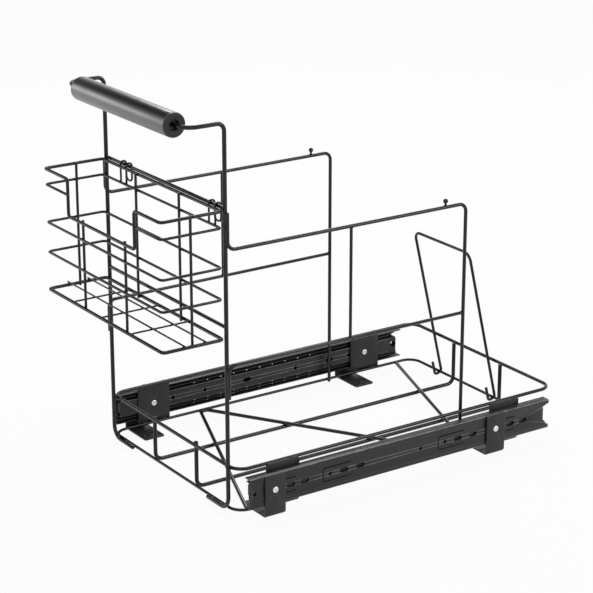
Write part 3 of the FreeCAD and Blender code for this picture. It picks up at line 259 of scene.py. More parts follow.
@dataclass(frozen=True)
class Finish:
    """One finish: a base colour with the surface detail of its process.

    Attributes:
        name: the material's name.
        coat: the record's material slot that it is meant for; not used.
        colour: the clean colour.
        wear_and_highlight: the colour of rubbed spots and of edges, partly wear and partly a
            painted highlight.
        roughness: of the clean surface.
        metallic: 1 for bare metal.
        specular: Principled specular level.
        peel: height of the orange peel in metres, with its fineness.
        rubs: share of rubbed spots.
        dust: share of dust on faces that look up.
        edge: share of that colour along edges, partly wear and partly a painted highlight.
        lines: height of drawn lines in metres.
        stretch: scale of the lines' coordinates, small along them.
        line_shade: how far the lines change colour and roughness.
    """

    name: str
    coat: Coat
    colour: Colour
    wear_and_highlight: Colour
    roughness: float
    metallic: float = 0.0
    specular: float = 0.5
    peel: Flat = (0.0, 0.0)
    rubs: float = 0.0
    dust: float = 0.0
    edge: float = 0.0
    lines: float = 0.0
    stretch: Point = (1.0, 1.0, 1.0)
    line_shade: float = 0.0

    def material(self) -> bpy.types.Material:
        """Return the material, building it the first time.

        Returns:
            A node material that reads object coordinates.
        """
        known = bpy.data.materials.get(self.name)
        if known:
            return known
        material, wiring = bare_material(self.name)
        material.diffuse_color = self.colour
        vector = wiring.add("ShaderNodeTexCoord").outputs["Object"]
        tone = Effect.TONE.place(wiring, vector, TONE_AMOUNT)
        darker = tuple(TONE_DARK * part for part in self.colour[:3]) + (1.0,)
        colour = wiring.blend(tone, self.colour, darker)
        rough = wiring.plus(wiring.times(tone, TONE_ROUGH), self.roughness)
        heights = []
        if self.rubs:
            rubs = Effect.RUBS.place(wiring, vector, self.rubs)
            colour = wiring.blend(rubs, colour, self.wear_and_highlight)
            rough = wiring.plus(rough, wiring.times(rubs, RUB_ROUGH))
        # Narrow faces along edges take the second colour: partly wear, partly a painted highlight
        # on the edges.
        if self.edge:
            wear_and_highlight = wiring.add("ShaderNodeAttribute", attribute_name="edge_wear_and_highlight").outputs["Fac"]
            patchy = wiring.patches(vector, 120.0, 3.0, 0.6, 0.35, 0.65, 0.35)
            mask = wiring.times(wiring.times(wear_and_highlight, patchy), self.edge)
            colour = wiring.blend(mask, colour, self.wear_and_highlight)
        if self.lines:
            stretched = {"Vector": vector, "Scale": self.stretch}
            along = wiring.add("ShaderNodeMapping", stretched).outputs[0]
            lines = Effect.DRAWN_LINES.place(wiring, along, 1.0)
            shade = wiring.spread(lines, 0.3, 0.7, -self.line_shade, self.line_shade)
            shaded = {0: colour, "Scale": wiring.plus(shade, 1.0)}
            colour = wiring.add("ShaderNodeVectorMath", shaded, operation="SCALE").outputs[0]
            rough = wiring.plus(rough, wiring.times(shade, LINE_ROUGH))
            heights.append(wiring.times(lines, self.lines / BUMP_UNIT))
        if self.dust:
            dust = Effect.DUST.place(wiring, vector, self.dust)
            colour = wiring.blend(dust, colour, DUST_TINT)
            rough = wiring.plus(rough, wiring.times(dust, DUST_ROUGH))
        peel, fineness = self.peel
        if peel:
            heights.append(Effect.ORANGE_PEEL.place(wiring, vector, peel / BUMP_UNIT, fineness))
        shader = wiring.add("ShaderNodeBsdfPrincipled", {
            "Base Color": colour, "Roughness": rough, "Metallic": self.metallic,
            "Specular IOR Level": self.specular})
        if heights:
            height = heights[0] if len(heights) == 1 else wiring.plus(*heights)
            feeds = {"Strength": 1.0, "Distance": BUMP_UNIT, "Height": height}
            bump = wiring.add("ShaderNodeBump", feeds)
            wiring.tree.links.new(bump.outputs[0], shader.inputs["Normal"])
        wiring.surface(shader.outputs[0])
        return material


def grey(*parts: float) -> Colour:
    """Return an opaque colour from one value or from red, green and blue."""
    return (*(parts if len(parts) == 3 else parts * 3), 1.0)


WIRE_BLACK = Finish(
    "black_wire_powder", Coat.WIRE, grey(0.0035, 0.0035, 0.0038), grey(0.035, 0.035, 0.037), 0.17,
    specular=0.36, peel=(0.00002, 1100.0), rubs=0.3, dust=0.012)
SHEET_BLACK = Finish(
    "black_sheet_powder", Coat.SHEET, grey(0.016, 0.016, 0.017), grey(0.09, 0.09, 0.093), 0.44,
    specular=0.42, peel=(0.00003, 900.0), rubs=0.3, dust=0.06, edge=0.5)
# The light grey second colour is mostly a painted highlight along the slide's rounded edges, with
# some rubbed wear.
SLIDE_BLACK = Finish(
    "black_slide_coat", Coat.SLIDE, grey(0.022, 0.022, 0.023), grey(0.40, 0.40, 0.41), 0.34,
    specular=0.34, peel=(0.00001, 1600.0), rubs=0.06, dust=0.03, edge=0.8,
    stretch=(900.0, 14.0, 900.0), lines=0.000004, line_shade=0.10)
ZINC_BRIGHT = Finish(
    "bright_zinc", Coat.SCREW, grey(0.80, 0.80, 0.78), grey(0.55, 0.54, 0.5), 0.24, metallic=1.0,
    rubs=0.4, edge=0.3, stretch=(600.0, 600.0, 600.0), lines=0.000003, line_shade=0.08)
# Near-black, dull ribs: painted shade for the dark pressed lines round the holes.
RIB_PAINTED_SHADE = Finish(
    "rib_painted_shade", Coat.SLIDE, grey(0.002), grey(0.012), 0.6,
    specular=0.08, peel=(0.00002, 1300.0), rubs=0.2)
# Near-black strip steel: painted shade, so that the cages seen through the slots read dark.
STRIP_PAINTED_SHADE = Finish(
    "strip_steel_painted_shade", Coat.CAGE, grey(0.020, 0.020, 0.021), grey(0.06), 0.42, metallic=1.0,
    rubs=0.4, edge=0.3, stretch=(1200.0, 20.0, 1200.0), lines=0.000003, line_shade=0.1)
BALL_STEEL = Finish(
    "ball_steel", Coat.CAGE, grey(0.72, 0.72, 0.73), grey(0.5), 0.12, metallic=1.0, rubs=0.3)
GRIP_SATIN = Finish(
    "satin_grip_tube", Coat.GRIP, grey(0.19, 0.19, 0.195), grey(0.36, 0.36, 0.37), 0.32,
    metallic=1.0, rubs=0.15, dust=0.02, edge=0.4, stretch=(14.0, 1500.0, 1500.0),
    lines=0.000006, line_shade=0.14)
PLASTIC_BLACK = Finish(
    "black_moulded_plastic", Coat.PLASTIC, grey(0.012), grey(0.05), 0.42,
    specular=0.45, peel=(0.00002, 1800.0), rubs=0.2, dust=0.05, edge=0.4)


# Mesh work --------------------------------------------------------------------------------

SPIN = {"dvec": (0, 0, 0), "use_normal_flip": False, "use_duplicate": False}
ROUNDING = {"offset_type": "OFFSET", "profile": 0.5, "clamp_overlap": True, "material": -1}
BEND_STEP = 9.0
WIRE_END = ((0.16, 0.93), (0.12, 0.80), (0.06, 0.55))
THIN_FACE, THIN_FOLD, FOLDED = 0.3, 0.45, 1.005
UPRIGHT = Matrix(((0, 0, 1, 0), (1, 0, 0, 0), (0, 1, 0, 0), (0, 0, 0, 1)))


def turned(along: Vector) -> Matrix:
    """Return the turn that takes +Z to a direction."""
    return along.normalized().to_track_quat("Z", "Y").to_matrix().to_4x4()


def upright(x: float) -> Matrix:
    """Return the place of a blank that stands along Y and Z at an X."""
    return Matrix.Translation((x, 0, 0)) @ UPRIGHT


def verts_and_rim(made: Sequence[Any]) -> tuple[list[bmesh.types.BMVert], Rim]:
    """Sort what an operator made.

    Args:
        made: its vertices, edges and faces.

    Returns:
        The vertices, and the edges that lie between them.
    """
    verts = [item for item in made if isinstance(item, bmesh.types.BMVert)]
    own = set(verts)
    edges = [item for item in made if isinstance(item, bmesh.types.BMEdge)]
    return verts, [edge for edge in edges if set(edge.verts) <= own]


@dataclass(frozen=True)
class Opening:
    """A round hole or a slot with round ends in a flat blank."""

    at: Flat
    length: float
    height: float

    @classmethod
    def hole(cls, y: float, z: float, size: float) -> "Opening":
        """Return a round hole."""
        return cls((y, z), size, size)


def flat_blank(outline: Sequence[Flat], rounds: dict[int, float],
               openings: Sequence[Opening] = ()) -> bmesh.types.BMesh:
    """Cut a flat blank in the XY plane.

    Args:
        outline: its corners.
        rounds: corner number with its radius.
        openings: holes and slots, all inside the outline.

    Returns:
        The filled blank.
    """
    blank = bmesh.new()
    corners = [blank.verts.new((*corner, 0.0)) for corner in outline]
    blank.faces.new(corners)
    for radius in sorted(set(rounds.values())):
        group = [corners[index] for index in rounds if rounds[index] == radius]
        bmesh.ops.bevel(blank, geom=group, offset=radius, segments=5, affect="VERTICES", **ROUNDING)
    if not openings:
        return blank
    bmesh.ops.delete(blank, geom=blank.faces[:], context="FACES_ONLY")
    for opening in openings:
        circle = bmesh.ops.create_circle(blank, cap_ends=False, segments=20,
                                         radius=opening.height / 2)["verts"]
        reach = (opening.length - opening.height) / 2
        for sign in (-1, 1):
            half = [vert for vert in circle if vert.co.x * sign > 1e-5]
            bmesh.ops.translate(blank, vec=(sign * reach, 0, 0), verts=half)
        bmesh.ops.translate(blank, vec=(*opening.at, 0.0), verts=circle)
    bmesh.ops.triangle_fill(blank, use_beauty=True, use_dissolve=False, edges=blank.edges[:],
                            normal=(0, 0, 1))
    return blank


class Workpiece:
    """A closed mesh being made in millimetres, handed over as one object."""

    def __init__(self, name: str) -> None:
        """Start an empty mesh.

        Args:
            name: the piece's name.
        """
        self.name = name
        self.mesh = bmesh.new()

    def ring(self, centre: Vector, along: Vector, radius: float, sides: int) -> Rim:
        """Start a round section square to a direction and return its edges."""
        made = bmesh.ops.create_circle(self.mesh, cap_ends=False, segments=sides, radius=radius,
                                       matrix=Matrix.Translation(centre) @ turned(along))
        return list(dict.fromkeys(edge for vert in made["verts"] for edge in vert.link_edges))

    def push(self, rim: Rim, step: Sequence[float], scale: float = 1.0) -> Rim:
        """Extrude a rim by a step and scale it about its own middle.

        Args:
            rim: the edges to extrude.
            step: how far the new edges move.
            scale: their size after that.

        Returns:
            The new rim.
        """
        made = bmesh.ops.extrude_edge_only(self.mesh, edges=rim)["geom"]
        verts, rim = verts_and_rim(made)
        bmesh.ops.translate(self.mesh, vec=step, verts=verts)
        if scale != 1.0:
            middle = sum((vert.co for vert in verts), Vector()) / len(verts)
            bmesh.ops.scale(self.mesh, vec=(scale,) * 3, space=Matrix.Translation(-middle),
                            verts=verts)
        return rim

    def swing(self, rim: Rim, centre: Sequence[float], axis: Sequence[float], angle: float,
              steps: int) -> Rim:
        """Spin a rim about an axis.

        Args:
            rim: the edges to spin.
            centre: a point of the axis.
            axis: its direction.
            angle: of the turn.
            steps: across it.

        Returns:
            The last rim.
        """
        verts = list(dict.fromkeys(vert for edge in rim for vert in edge.verts))
        made = bmesh.ops.spin(self.mesh, geom=verts + rim, cent=centre, axis=axis, angle=angle,
                              steps=steps, use_merge=False, **SPIN)
        return verts_and_rim(made["geom_last"])[1]

    def dome(self, rim: Rim, outward: Vector, radius: float) -> None:
        """Close a rim with the low dome of a coated wire end.

        Args:
            rim: the open end.
            outward: the way it looks.
            radius: of the wire.
        """
        for rise, scale in WIRE_END:
            rim = self.push(rim, outward * radius * rise, scale)
        bmesh.ops.edgeloop_fill(self.mesh, edges=rim)

    def wire(self, corners: Sequence[Point], bends: Any, diameter: float, closed: bool = False,
             sides: int = 16) -> None:
        """Bend a round wire: straight runs joined by tangent arcs.

        Args:
            corners: where the straight runs would meet.
            bends: one radius, or a radius or 0 for each corner.
            diameter: of the wire.
            closed: joins the last corner to the first.
            sides: of the round section.
        """
        points = [Vector(corner) for corner in corners]
        count = len(points)
        radii = list(bends) if isinstance(bends, (list, tuple)) else [bends] * count
        if not closed:
            radii[0] = radii[-1] = 0.0
        runs = [(points[(i + 1) % count] - points[i]).normalized() for i in range(count)]
        turns = [runs[i - 1].angle(runs[i]) if radii[i] else 0.0 for i in range(count)]
        cuts = [bend * math.tan(turn / 2) for bend, turn in zip(radii, turns)]
        radius = diameter / 2
        dome = 0.0 if closed else sum(rise for rise, _ in WIRE_END) * radius
        here = points[0] + runs[0] * (cuts[0] + dome)
        first = rim = self.ring(here, runs[0], radius, sides)
        for leg in range(count if closed else count - 1):
            end = (leg + 1) % count
            last = not closed and end == count - 1
            stop = points[end] - runs[leg] * (cuts[end] + (dome if last else 0.0))
            if (stop - here).length > 1e-4:
                rim = self.push(rim, stop - here)
            here = stop
            if radii[end]:
                axis = runs[leg].cross(runs[end]).normalized()
                centre = here + axis.cross(runs[leg]) * radii[end]
                steps = max(4, round(math.degrees(turns[end]) / BEND_STEP))
                rim = self.swing(rim, centre, axis, turns[end], steps)
                here = points[end] + runs[end] * cuts[end]
        if not closed:
            self.dome(rim, runs[count - 2], radius)
            self.dome(first, -runs[0], radius)

    def bead(self, centre: Point, size: Point, along: Point = (0, 0, 1)) -> None:
        """Add a weld bead: an ellipsoid whose third size lies along a direction."""
        place = Matrix.Translation(centre) @ turned(Vector(along)) @ Matrix.Diagonal((*size, 1.0))
        bmesh.ops.create_uvsphere(self.mesh, u_segments=12, v_segments=8, radius=1.0, matrix=place)

    def lathe(self, profile: Sequence[Flat], rounds: dict[int, float], steps: int) -> None:
        """Spin a closed profile of (distance along X, radius) about the X axis.

        Args:
            profile: corners of the section.
            rounds: corner number with its radius.
            steps: of the full turn.
        """
        blank = flat_blank(profile, rounds)
        bmesh.ops.delete(blank, geom=blank.faces[:], context="FACES_ONLY")
        bmesh.ops.spin(blank, geom=blank.verts[:] + blank.edges[:], cent=(0, 0, 0), axis=(1, 0, 0),
                       angle=2 * math.pi, steps=steps, use_merge=True, **SPIN)
        self.absorb(blank)

    def absorb(self, other: bmesh.types.BMesh) -> None:
        """Take over another mesh.

        Args:
            other: the mesh, which is freed.
        """
        carrier = bpy.data.meshes.new("carrier")
        other.to_mesh(carrier)
        other.free()
        self.mesh.from_mesh(carrier)
        bpy.data.meshes.remove(carrier)

    def soften(self, width: float) -> None:
        """Round every sharp edge by a width."""
        sharp = [edge for edge in self.mesh.edges
                 if len(edge.link_faces) == 2 and edge.calc_face_angle(0.0) > SHARP]
        bmesh.ops.bevel(self.mesh, geom=sharp, offset=width, segments=2, affect="EDGES", **ROUNDING)

    def shift(self, step: Sequence[float]) -> None:
        """Move the whole mesh by a step."""
        bmesh.ops.translate(self.mesh, vec=step, verts=self.mesh.verts[:])

    def mirror(self, hand: Hand) -> None:
        """Turn a right-hand piece into its mirror image for the left."""
        if hand is Hand.LEFT:
            bmesh.ops.scale(self.mesh, vec=(-1, 1, 1), verts=self.mesh.verts[:])

    def mark_wear_and_highlight(self) -> None:
        """Mark the vertices of narrow faces, where the coat wears and where a painted highlight
        lies along the edges.
        """
        wear = self.mesh.verts.layers.float.new("edge_wear_and_highlight")
        for vert in self.mesh.verts:
            faces = vert.link_faces
            widths = [face.calc_area() / max(edge.calc_length() for edge in face.edges)
                      for face in faces]
            folded = vert.calc_shell_factor() > FOLDED and all(len(f.verts) == 4 for f in faces)
            limit = THIN_FOLD if folded else THIN_FACE
            vert[wear] = 1.0 if widths and max(widths) < limit else 0.0

    def hand_over(self, finish: Finish, body: str, *replaces: str) -> None:
        """Make the object: merged, facing outwards, in metres, dressed and on its body.

        Args:
            finish: the material.
            body: the body that it rides on.
            *replaces: nodes that it stands for.
        """
        mesh = self.mesh
        bmesh.ops.remove_doubles(mesh, verts=mesh.verts[:], dist=0.002)
        bmesh.ops.recalc_face_normals(mesh, faces=mesh.faces[:])
        self.mark_wear_and_highlight()
        bmesh.ops.scale(mesh, vec=(MM,) * 3, verts=mesh.verts[:])
        data = bpy.data.meshes.new(self.name)
        mesh.to_mesh(data)
        mesh.free()
        data.shade_smooth()
        data.set_sharp_from_angle(angle=SHARP)
        piece = bpy.data.objects.new(self.name, data)
        bpy.context.scene.collection.objects.link(piece)
        data.materials.append(finish.material())
        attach(piece, body)
        if replaces:
            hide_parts(*replaces)
        LOG.info("%s: %d faces on %s", self.name, len(data.polygons), body)


class Sheet(Workpiece):
    """A pressed sheet: its outer skin is laid out and folded, then thickened inwards."""

    def lay(self, outline: Sequence[Flat], rounds: dict[int, float], openings: Sequence[Opening],
            place: Matrix) -> None:
        """Lay a flat blank into the skin.

        Args:
            outline: corners in the blank's own plane.
            rounds: corner number with its radius.
            openings: holes and slots.
            place: takes the blank to the part's frame.
        """
        blank = flat_blank(outline, rounds, openings)
        bmesh.ops.transform(blank, matrix=place, verts=blank.verts[:])
        self.absorb(blank)

    def edge(self, pick: Callable[[Vector], bool]) -> Rim:
        """Return the open edges whose two ends are picked."""
        return [edge for edge in self.mesh.edges
                if len(edge.link_faces) == 1 and all(pick(vert.co) for vert in edge.verts)]

    def thicken(self, sheet: float, inside: Point, soft: float) -> None:
        """Close the skin to a sheet of even thickness with softened edges.

        Args:
            sheet: thickness, inwards from the skin.
            inside: a point on the inner side of the skin.
            soft: rounding of the cut edges.
        """
        mesh = self.mesh
        bmesh.ops.remove_doubles(mesh, verts=mesh.verts[:], dist=0.005)
        bmesh.ops.recalc_face_normals(mesh, faces=mesh.faces[:])
        mesh.normal_update()
        side = sum((face.calc_center_median() - Vector(inside)).dot(face.normal) * face.calc_area()
                   for face in mesh.faces)
        if side < 0:
            bmesh.ops.reverse_faces(mesh, faces=mesh.faces[:])
            mesh.normal_update()
        bmesh.ops.solidify(mesh, geom=mesh.faces[:], thickness=sheet)
        bmesh.ops.recalc_face_normals(mesh, faces=mesh.faces[:])
        if soft:
            self.soften(soft)


# Sub-assemblies ---------------------------------------------------------------------------


@dataclass(frozen=True)
class Section:
    """A channel's section, even about the slide's middle.

    Attributes:
        web: outer face of the web, from the tray side of the slide.
        lip: open edge of both flanges, from the same side.
        low: underside of the lower flange, from the slide's underside.
        bend: outside radius of the bends.
        sheet: thickness.
        joggle: how far the middle of the web is set in.
        notch: depth of the notch in the web's rear end.
    """

    web: float
    lip: float
    low: float
    bend: float
    sheet: float
    joggle: float = 0.0
    notch: float = 0.0


@dataclass(frozen=True)
class Buffer:
    """A moulded end stop of a slide.

    Attributes:
        ends: its front and rear.
        thick: how far it reaches inwards from its outer face.
        face: that outer face, across or upwards.
        soft: rounding of its edges.
        corner: radius of two corners.
    """

    ends: Flat
    thick: float
    face: float
    soft: float
    corner: float


@dataclass
class SlidePair:
    """The two ball-bearing slides with brackets, tabs, screws and buffers.

    Distances across are from the tray side of the slide, heights from its underside.
    """

    tray_side: float = 137.3
    lift: float = 12.5
    height: float = 35.0
    front: float = -180.5
    rear: float = 229.5
    middle_front: float = -179.5
    member_rear: float = 212.0
    inner_front: float = -176.0
    outer: Section = Section(10.9, 0.5, 0.0, 1.0, 1.1, joggle=0.5, notch=8.5)
    middle: Section = Section(8.3, 1.5, 4.1, 1.0, 1.0)
    inner: Section = Section(0.0, 6.0, 8.1, 0.6, 1.2)
    outer_cage: Section = Section(9.0, 1.5, 2.4, 0.3, 0.4)
    inner_cage: Section = Section(7.0, 1.5, 6.4, 0.3, 0.4)
    strip: float = 4.2
    notch_inset: float = 2.8
    notch_corner: float = 1.6
    slot: Flat = (11.4, 5.2)
    slots: tuple[float, ...] = (-128.8, -111.1, -59.3, -37.6, 97.0, 118.1, 172.7, 191.3)
    holes: tuple[Flat, ...] = ((-175.2, 5.0), (-78.0, 4.5), (44.4, 4.0), (78.4, 4.5),
                               (-150.0, 4.2), (150.0, 4.2))
    inner_slots: tuple[float, ...] = (-1.0, 119.5)
    inner_holes: tuple[Flat, ...] = ((-105.1, 5.0), (-60.5, 4.5), (69.5, 4.5), (149.5, 5.0),
                                     (-132.0, 4.2), (172.0, 4.2))
    rib_lines: tuple[Flat, ...] = ((-135.5, 12.5), (166.5, 12.5))
    rib_frames: tuple[Flat, ...] = ((-87.6, 37.6), (68.6, 37.6))
    rib_span: float = 16.5
    rib_wire: float = 1.1
    rib_corner: float = 2.5
    rib_height: float = 0.62
    cage_front: float = -83.0
    cage_length: float = 185.0
    ball: float = 2.8
    ball_pitch: float = 18.5
    balls: int = 10
    ball_drop: float = 0.2
    ball_across: Flat = (4.9, 3.75)
    cut_soft: float = 0.25
    rear_buffer: Buffer = Buffer((213.0, 223.0), 7.8, 9.3, 0.5, 3.3)
    rear_buffer_half: float = 10.0
    rear_buffer_hole: float = 8.0
    front_buffer: Buffer = Buffer((-177.0, -164.0), 11.8, 7.87, 0.3, 0.6)
    bracket_y: float = 150.0
    bracket_width: float = 26.0
    bracket_top: float = 47.5
    bracket_sheet: float = 1.8
    bracket_inside: float = 103.6
    bracket_bend: float = 2.6
    bracket_corner: float = 4.0
    bracket_slant: float = 3.5
    flange_corner: float = 2.0
    floor_hole: float = 4.5
    floor_hole_x: float = 114.5
    floor_hole_step: float = 7.0
    screw_z: float = 30.0
    screw_hole: float = 4.2
    tab_width: float = 42.0
    tab_ends: Flat = (5.0, 55.0)
    tab_corner: float = 3.0
    tab_sheet: float = 1.8

    def channel(self, piece: Sheet, form: Section, ends: Flat,
                openings: Sequence[Opening]) -> None:
        """Fold a channel, even about the slide's middle.

        Args:
            piece: the sheet to lay it in.
            form: its section.
            ends: front and rear end.
            openings: holes of the web.
        """
        out = 1.0 if form.web > form.lip else -1.0
        high = self.height - form.low
        margin = self.strip + form.joggle if form.joggle else form.bend
        base, top = form.low + margin, high - margin
        front, rear = ends
        dent, inset = rear - form.notch, self.notch_inset
        bite = [(dent, base + inset), (dent, top - inset)] if form.notch else []
        outline = [(front, base), (rear, base), *bite, (rear, top), (front, top)]
        rounds = dict.fromkeys((2, 3), self.notch_corner) if form.notch else {}
        piece.lay(outline, rounds, openings, upright(form.web - out * form.joggle))
        for level, up in ((top, 1.0), (base, -1.0)):
            rim = piece.edge(lambda co: abs(co.z - level) < 1e-3)
            if form.joggle:
                rim = piece.push(rim, (out * form.joggle, 0, up * form.joggle))
                rim = piece.push(rim, (0, 0, up * (self.strip - form.bend)))
            bend_z = high - form.bend if up > 0 else form.low + form.bend
            centre = (form.web - out * form.bend, 0, bend_z)
            rim = piece.swing(rim, centre, (0, -up * out, 0), QUARTER_TURN, 4)
            piece.push(rim, (form.lip - form.web + out * form.bend, 0, 0))

    def settle(self, piece: Workpiece, hand: Hand) -> None:
        """Take a piece from the slide's own section to its place on one side."""
        piece.shift((self.tray_side, 0, self.lift))
        piece.mirror(hand)

    def member(self, names: tuple[str, str], body: str, hand: Hand, form: Section, ends: Flat,
               openings: Sequence[Opening] = (), finish: Finish = SLIDE_BLACK,
               soft: float = 0.18) -> None:
        """Make one channel of a slide.

        Args:
            names: of the piece and of the node that it replaces, without the hand.
            body: the body that it rides on.
            hand: side of the part.
            form: its section.
            ends: front and rear end.
            openings: holes of the web.
            finish: the material.
            soft: rounding of the cut edges.
        """
        name, node = names
        piece = Sheet(f"{hand.word}_{name}")
        self.channel(piece, form, ends, openings)
        piece.thicken(form.sheet, (form.lip, sum(ends) / 2, self.height / 2), soft)
        self.settle(piece, hand)
        piece.hand_over(finish, body, f"{hand.word}_{node}")

    def web_openings(self, slots: Sequence[float], holes: Sequence[Flat]) -> list[Opening]:
        """Return the slots and holes along the middle of a web."""
        z = self.height / 2
        return [Opening((y, z), *self.slot) for y in slots] + [
            Opening.hole(y, z, size) for y, size in holes]

    def ribs(self, hand: Hand) -> None:
        """Make the low ribs round two groups of holes of the cabinet member, coloured near black as
        painted shade for their dark lines.

        Args:
            hand: side of the part.
        """
        ribs = Workpiece(f"{hand.word}_cabinet_member_ribs")
        face = self.outer.web - self.outer.joggle
        half = self.rib_span / 2 - 0.5
        low, high = self.height / 2 - half, self.height / 2 + half
        for start, length in self.rib_lines:
            for level in (low, high):
                ribs.wire([(face, start, level), (face, start + length, level)], 0.0,
                          self.rib_wire, sides=12)
        for start, length in self.rib_frames:
            near, far = start + 0.5, start + length
            ribs.wire([(face, far, high), (face, near, high), (face, near, low), (face, far, low)],
                      self.rib_corner, self.rib_wire, sides=12)
        bmesh.ops.scale(ribs.mesh, vec=(self.rib_height, 1, 1),
                        space=Matrix.Translation((-face, 0, 0)), verts=ribs.mesh.verts[:])
        self.settle(ribs, hand)
        ribs.hand_over(RIB_PAINTED_SHADE, "slide_bases")

    def cage(self, hand: Hand, which: str, form: Section, across: float) -> None:
        """Make a ball cage and its balls.

        Args:
            hand: side of the part.
            which: outer or inner.
            form: section of the cage.
            across: the balls' distance from the tray side.
        """
        body = f"{hand.word}_{which}_cage"
        front, length = self.cage_front, self.cage_length
        # The strip takes the near-black steel colour: painted shade behind the slots of the
        # members.
        self.member((f"{which}_cage_strip", f"{which}_ball_cage"), body, hand, form,
                    (front, front + length), (), STRIP_PAINTED_SHADE, soft=0.0)
        balls = Workpiece(f"{hand.word}_{which}_balls")
        row = form.low + self.ball_drop
        first = front + (length - (self.balls - 1) * self.ball_pitch) / 2
        for index in range(self.balls):
            for height in (row, self.height - row):
                place = Matrix.Translation((across, first + index * self.ball_pitch, height))
                bmesh.ops.create_icosphere(balls.mesh, subdivisions=3, radius=self.ball / 2,
                                           matrix=place)
        self.settle(balls, hand)
        balls.hand_over(BALL_STEEL, body)

    def buffers(self, hand: Hand) -> None:
        """Make the rear buffer in the cabinet member and the front one in the tray member.

        Args:
            hand: side of the part.
        """
        z, form, half = self.height / 2, self.rear_buffer, self.rear_buffer_half
        start, end = form.ends
        rear = Sheet(f"{hand.word}_rear_buffer")
        rear.lay([(start, z - half), (end, z - half), (end, z + half), (start, z + half)],
                 dict.fromkeys((1, 2), form.corner),
                 [Opening.hole((start + end) / 2, z, self.rear_buffer_hole)], upright(form.face))
        rear.thicken(form.thick, (0.0, end, z), form.soft)
        self.settle(rear, hand)
        rear.hand_over(PLASTIC_BLACK, "slide_bases", f"{hand.word}_rear_bumper")
        form, stop = self.front_buffer, self.inner_front
        (start, end), web, reach = form.ends, self.inner.sheet, self.inner.lip
        front = Sheet(f"{hand.word}_front_buffer")
        front.lay([(0, start), (reach, start), (reach, end), (web, end), (web, stop), (0, stop)],
                  dict.fromkeys((0, 1), form.corner), (),
                  Matrix.Translation((0, 0, z + form.face)))
        front.thicken(form.thick, (reach / 2, end, z), form.soft)
        self.settle(front, hand)
        front.hand_over(PLASTIC_BLACK, "tray", f"{hand.word}_front_bumper")

    def bracket(self, hand: Hand, end: str, centre: float) -> None:
        """Make a floor bracket: an upright with a round corner, folded to a flange with holes.

        Args:
            hand: side of the part.
            end: front or rear.
            centre: its middle along the slide.
        """
        bend, radius = self.bracket_bend, self.bracket_corner
        front, rear = centre - self.bracket_width / 2, centre + self.bracket_width / 2
        face = self.tray_side + self.outer.web + self.bracket_sheet
        piece = Sheet(f"{end}_{hand.word}_bracket")
        piece.lay([(front, bend), (rear, bend), (rear, self.bracket_top),
                   (front, self.bracket_top)], {},
                  [Opening.hole(centre, self.screw_z, self.screw_hole)], upright(face))
        rim = piece.edge(lambda co: abs(co.z - bend) < 1e-3)
        piece.swing(rim, (face - bend, 0, bend), (0, 1, 0), QUARTER_TURN, 6)
        cuts = [math.radians(angle) for angle in (22.5, 45.0, 67.5)]
        for angle in cuts:
            normal = Vector((0, math.cos(angle), -math.sin(angle)))
            spot = Vector((0, rear - radius, radius)) + normal * radius
            mesh = piece.mesh
            bmesh.ops.bisect_plane(mesh, geom=mesh.verts[:] + mesh.edges[:] + mesh.faces[:],
                                   dist=1e-4, plane_co=spot, plane_no=normal, clear_outer=True,
                                   clear_inner=False)
        edge = rear - radius + radius * (1 - math.sin(cuts[-1])) / math.cos(cuts[-1])
        inside, fold, step = self.bracket_inside, face - bend, self.floor_hole_step
        holes = [Opening.hole(self.floor_hole_x, centre + side * step, self.floor_hole)
                 for side in (-1, 1)]
        piece.lay([(inside, front), (fold, front), (fold, edge), (fold - self.bracket_slant, rear),
                   (inside, rear)], dict.fromkeys((0, 4), self.flange_corner), holes,
                  Matrix.Identity(4))
        piece.thicken(self.bracket_sheet, (inside, centre, self.screw_z), self.cut_soft)
        piece.mirror(hand)
        piece.hand_over(SHEET_BLACK, "slide_bases", f"{end}_{hand.word}_floor_bracket")

    def screw(self, piece: Workpiece, spot: Point, side: int, shank: float) -> None:
        """Add a pan-head screw with a cross recess.

        Args:
            piece: the mesh that takes it.
            spot: where its head sits.
            side: the way the head looks along X.
            shank: length under the head.
        """
        arm, width, rise, radius, shank_radius = 1.55, 0.42, 1.12, 2.35, 2.0
        quarter = [(arm, width), (width, width), (width, arm)]
        cross = [(a * u, b * v) for a, b, part in ((1, 1, quarter), (-1, 1, quarter[::-1]),
                                                   (-1, -1, quarter), (1, -1, quarter[::-1]))
                 for u, v in part]
        screw = Workpiece("screw")
        head = screw.mesh
        face = head.faces.new([head.verts.new((u, v, rise)) for u, v in cross])
        loop = face.edges[:]
        bmesh.ops.delete(head, geom=[face], context="FACES_ONLY")
        rim = screw.ring(Vector((0, 0, rise)), Vector((0, 0, 1)), radius, 28)
        bmesh.ops.triangle_fill(head, use_beauty=True, use_dissolve=False, edges=loop + rim,
                                normal=(0, 0, 1))
        pit = screw.push(loop, (0, 0, -0.75), 0.62)
        bmesh.ops.edgeloop_fill(head, edges=pit)
        for drop, scale in ((0.17, 1.22), (0.30, 1.17), (0.40, 1.065), (0.25, 1.0)):
            rim = screw.push(rim, (0, 0, -drop), scale)
        rim = screw.push(rim, (0, 0, 0), shank_radius / 3.58)
        rim = screw.push(rim, (0, 0, -shank))
        bmesh.ops.edgeloop_fill(head, edges=rim)
        bmesh.ops.recalc_face_normals(head, faces=head.faces[:])
        turn = random.Random(round(spot[1])).uniform(0, math.pi)
        place = (Matrix.Translation(spot) @ turned(Vector((side, 0, 0)))
                 @ Matrix.Rotation(turn, 4, "Z"))
        bmesh.ops.transform(head, matrix=place, verts=head.verts[:])
        piece.absorb(head)

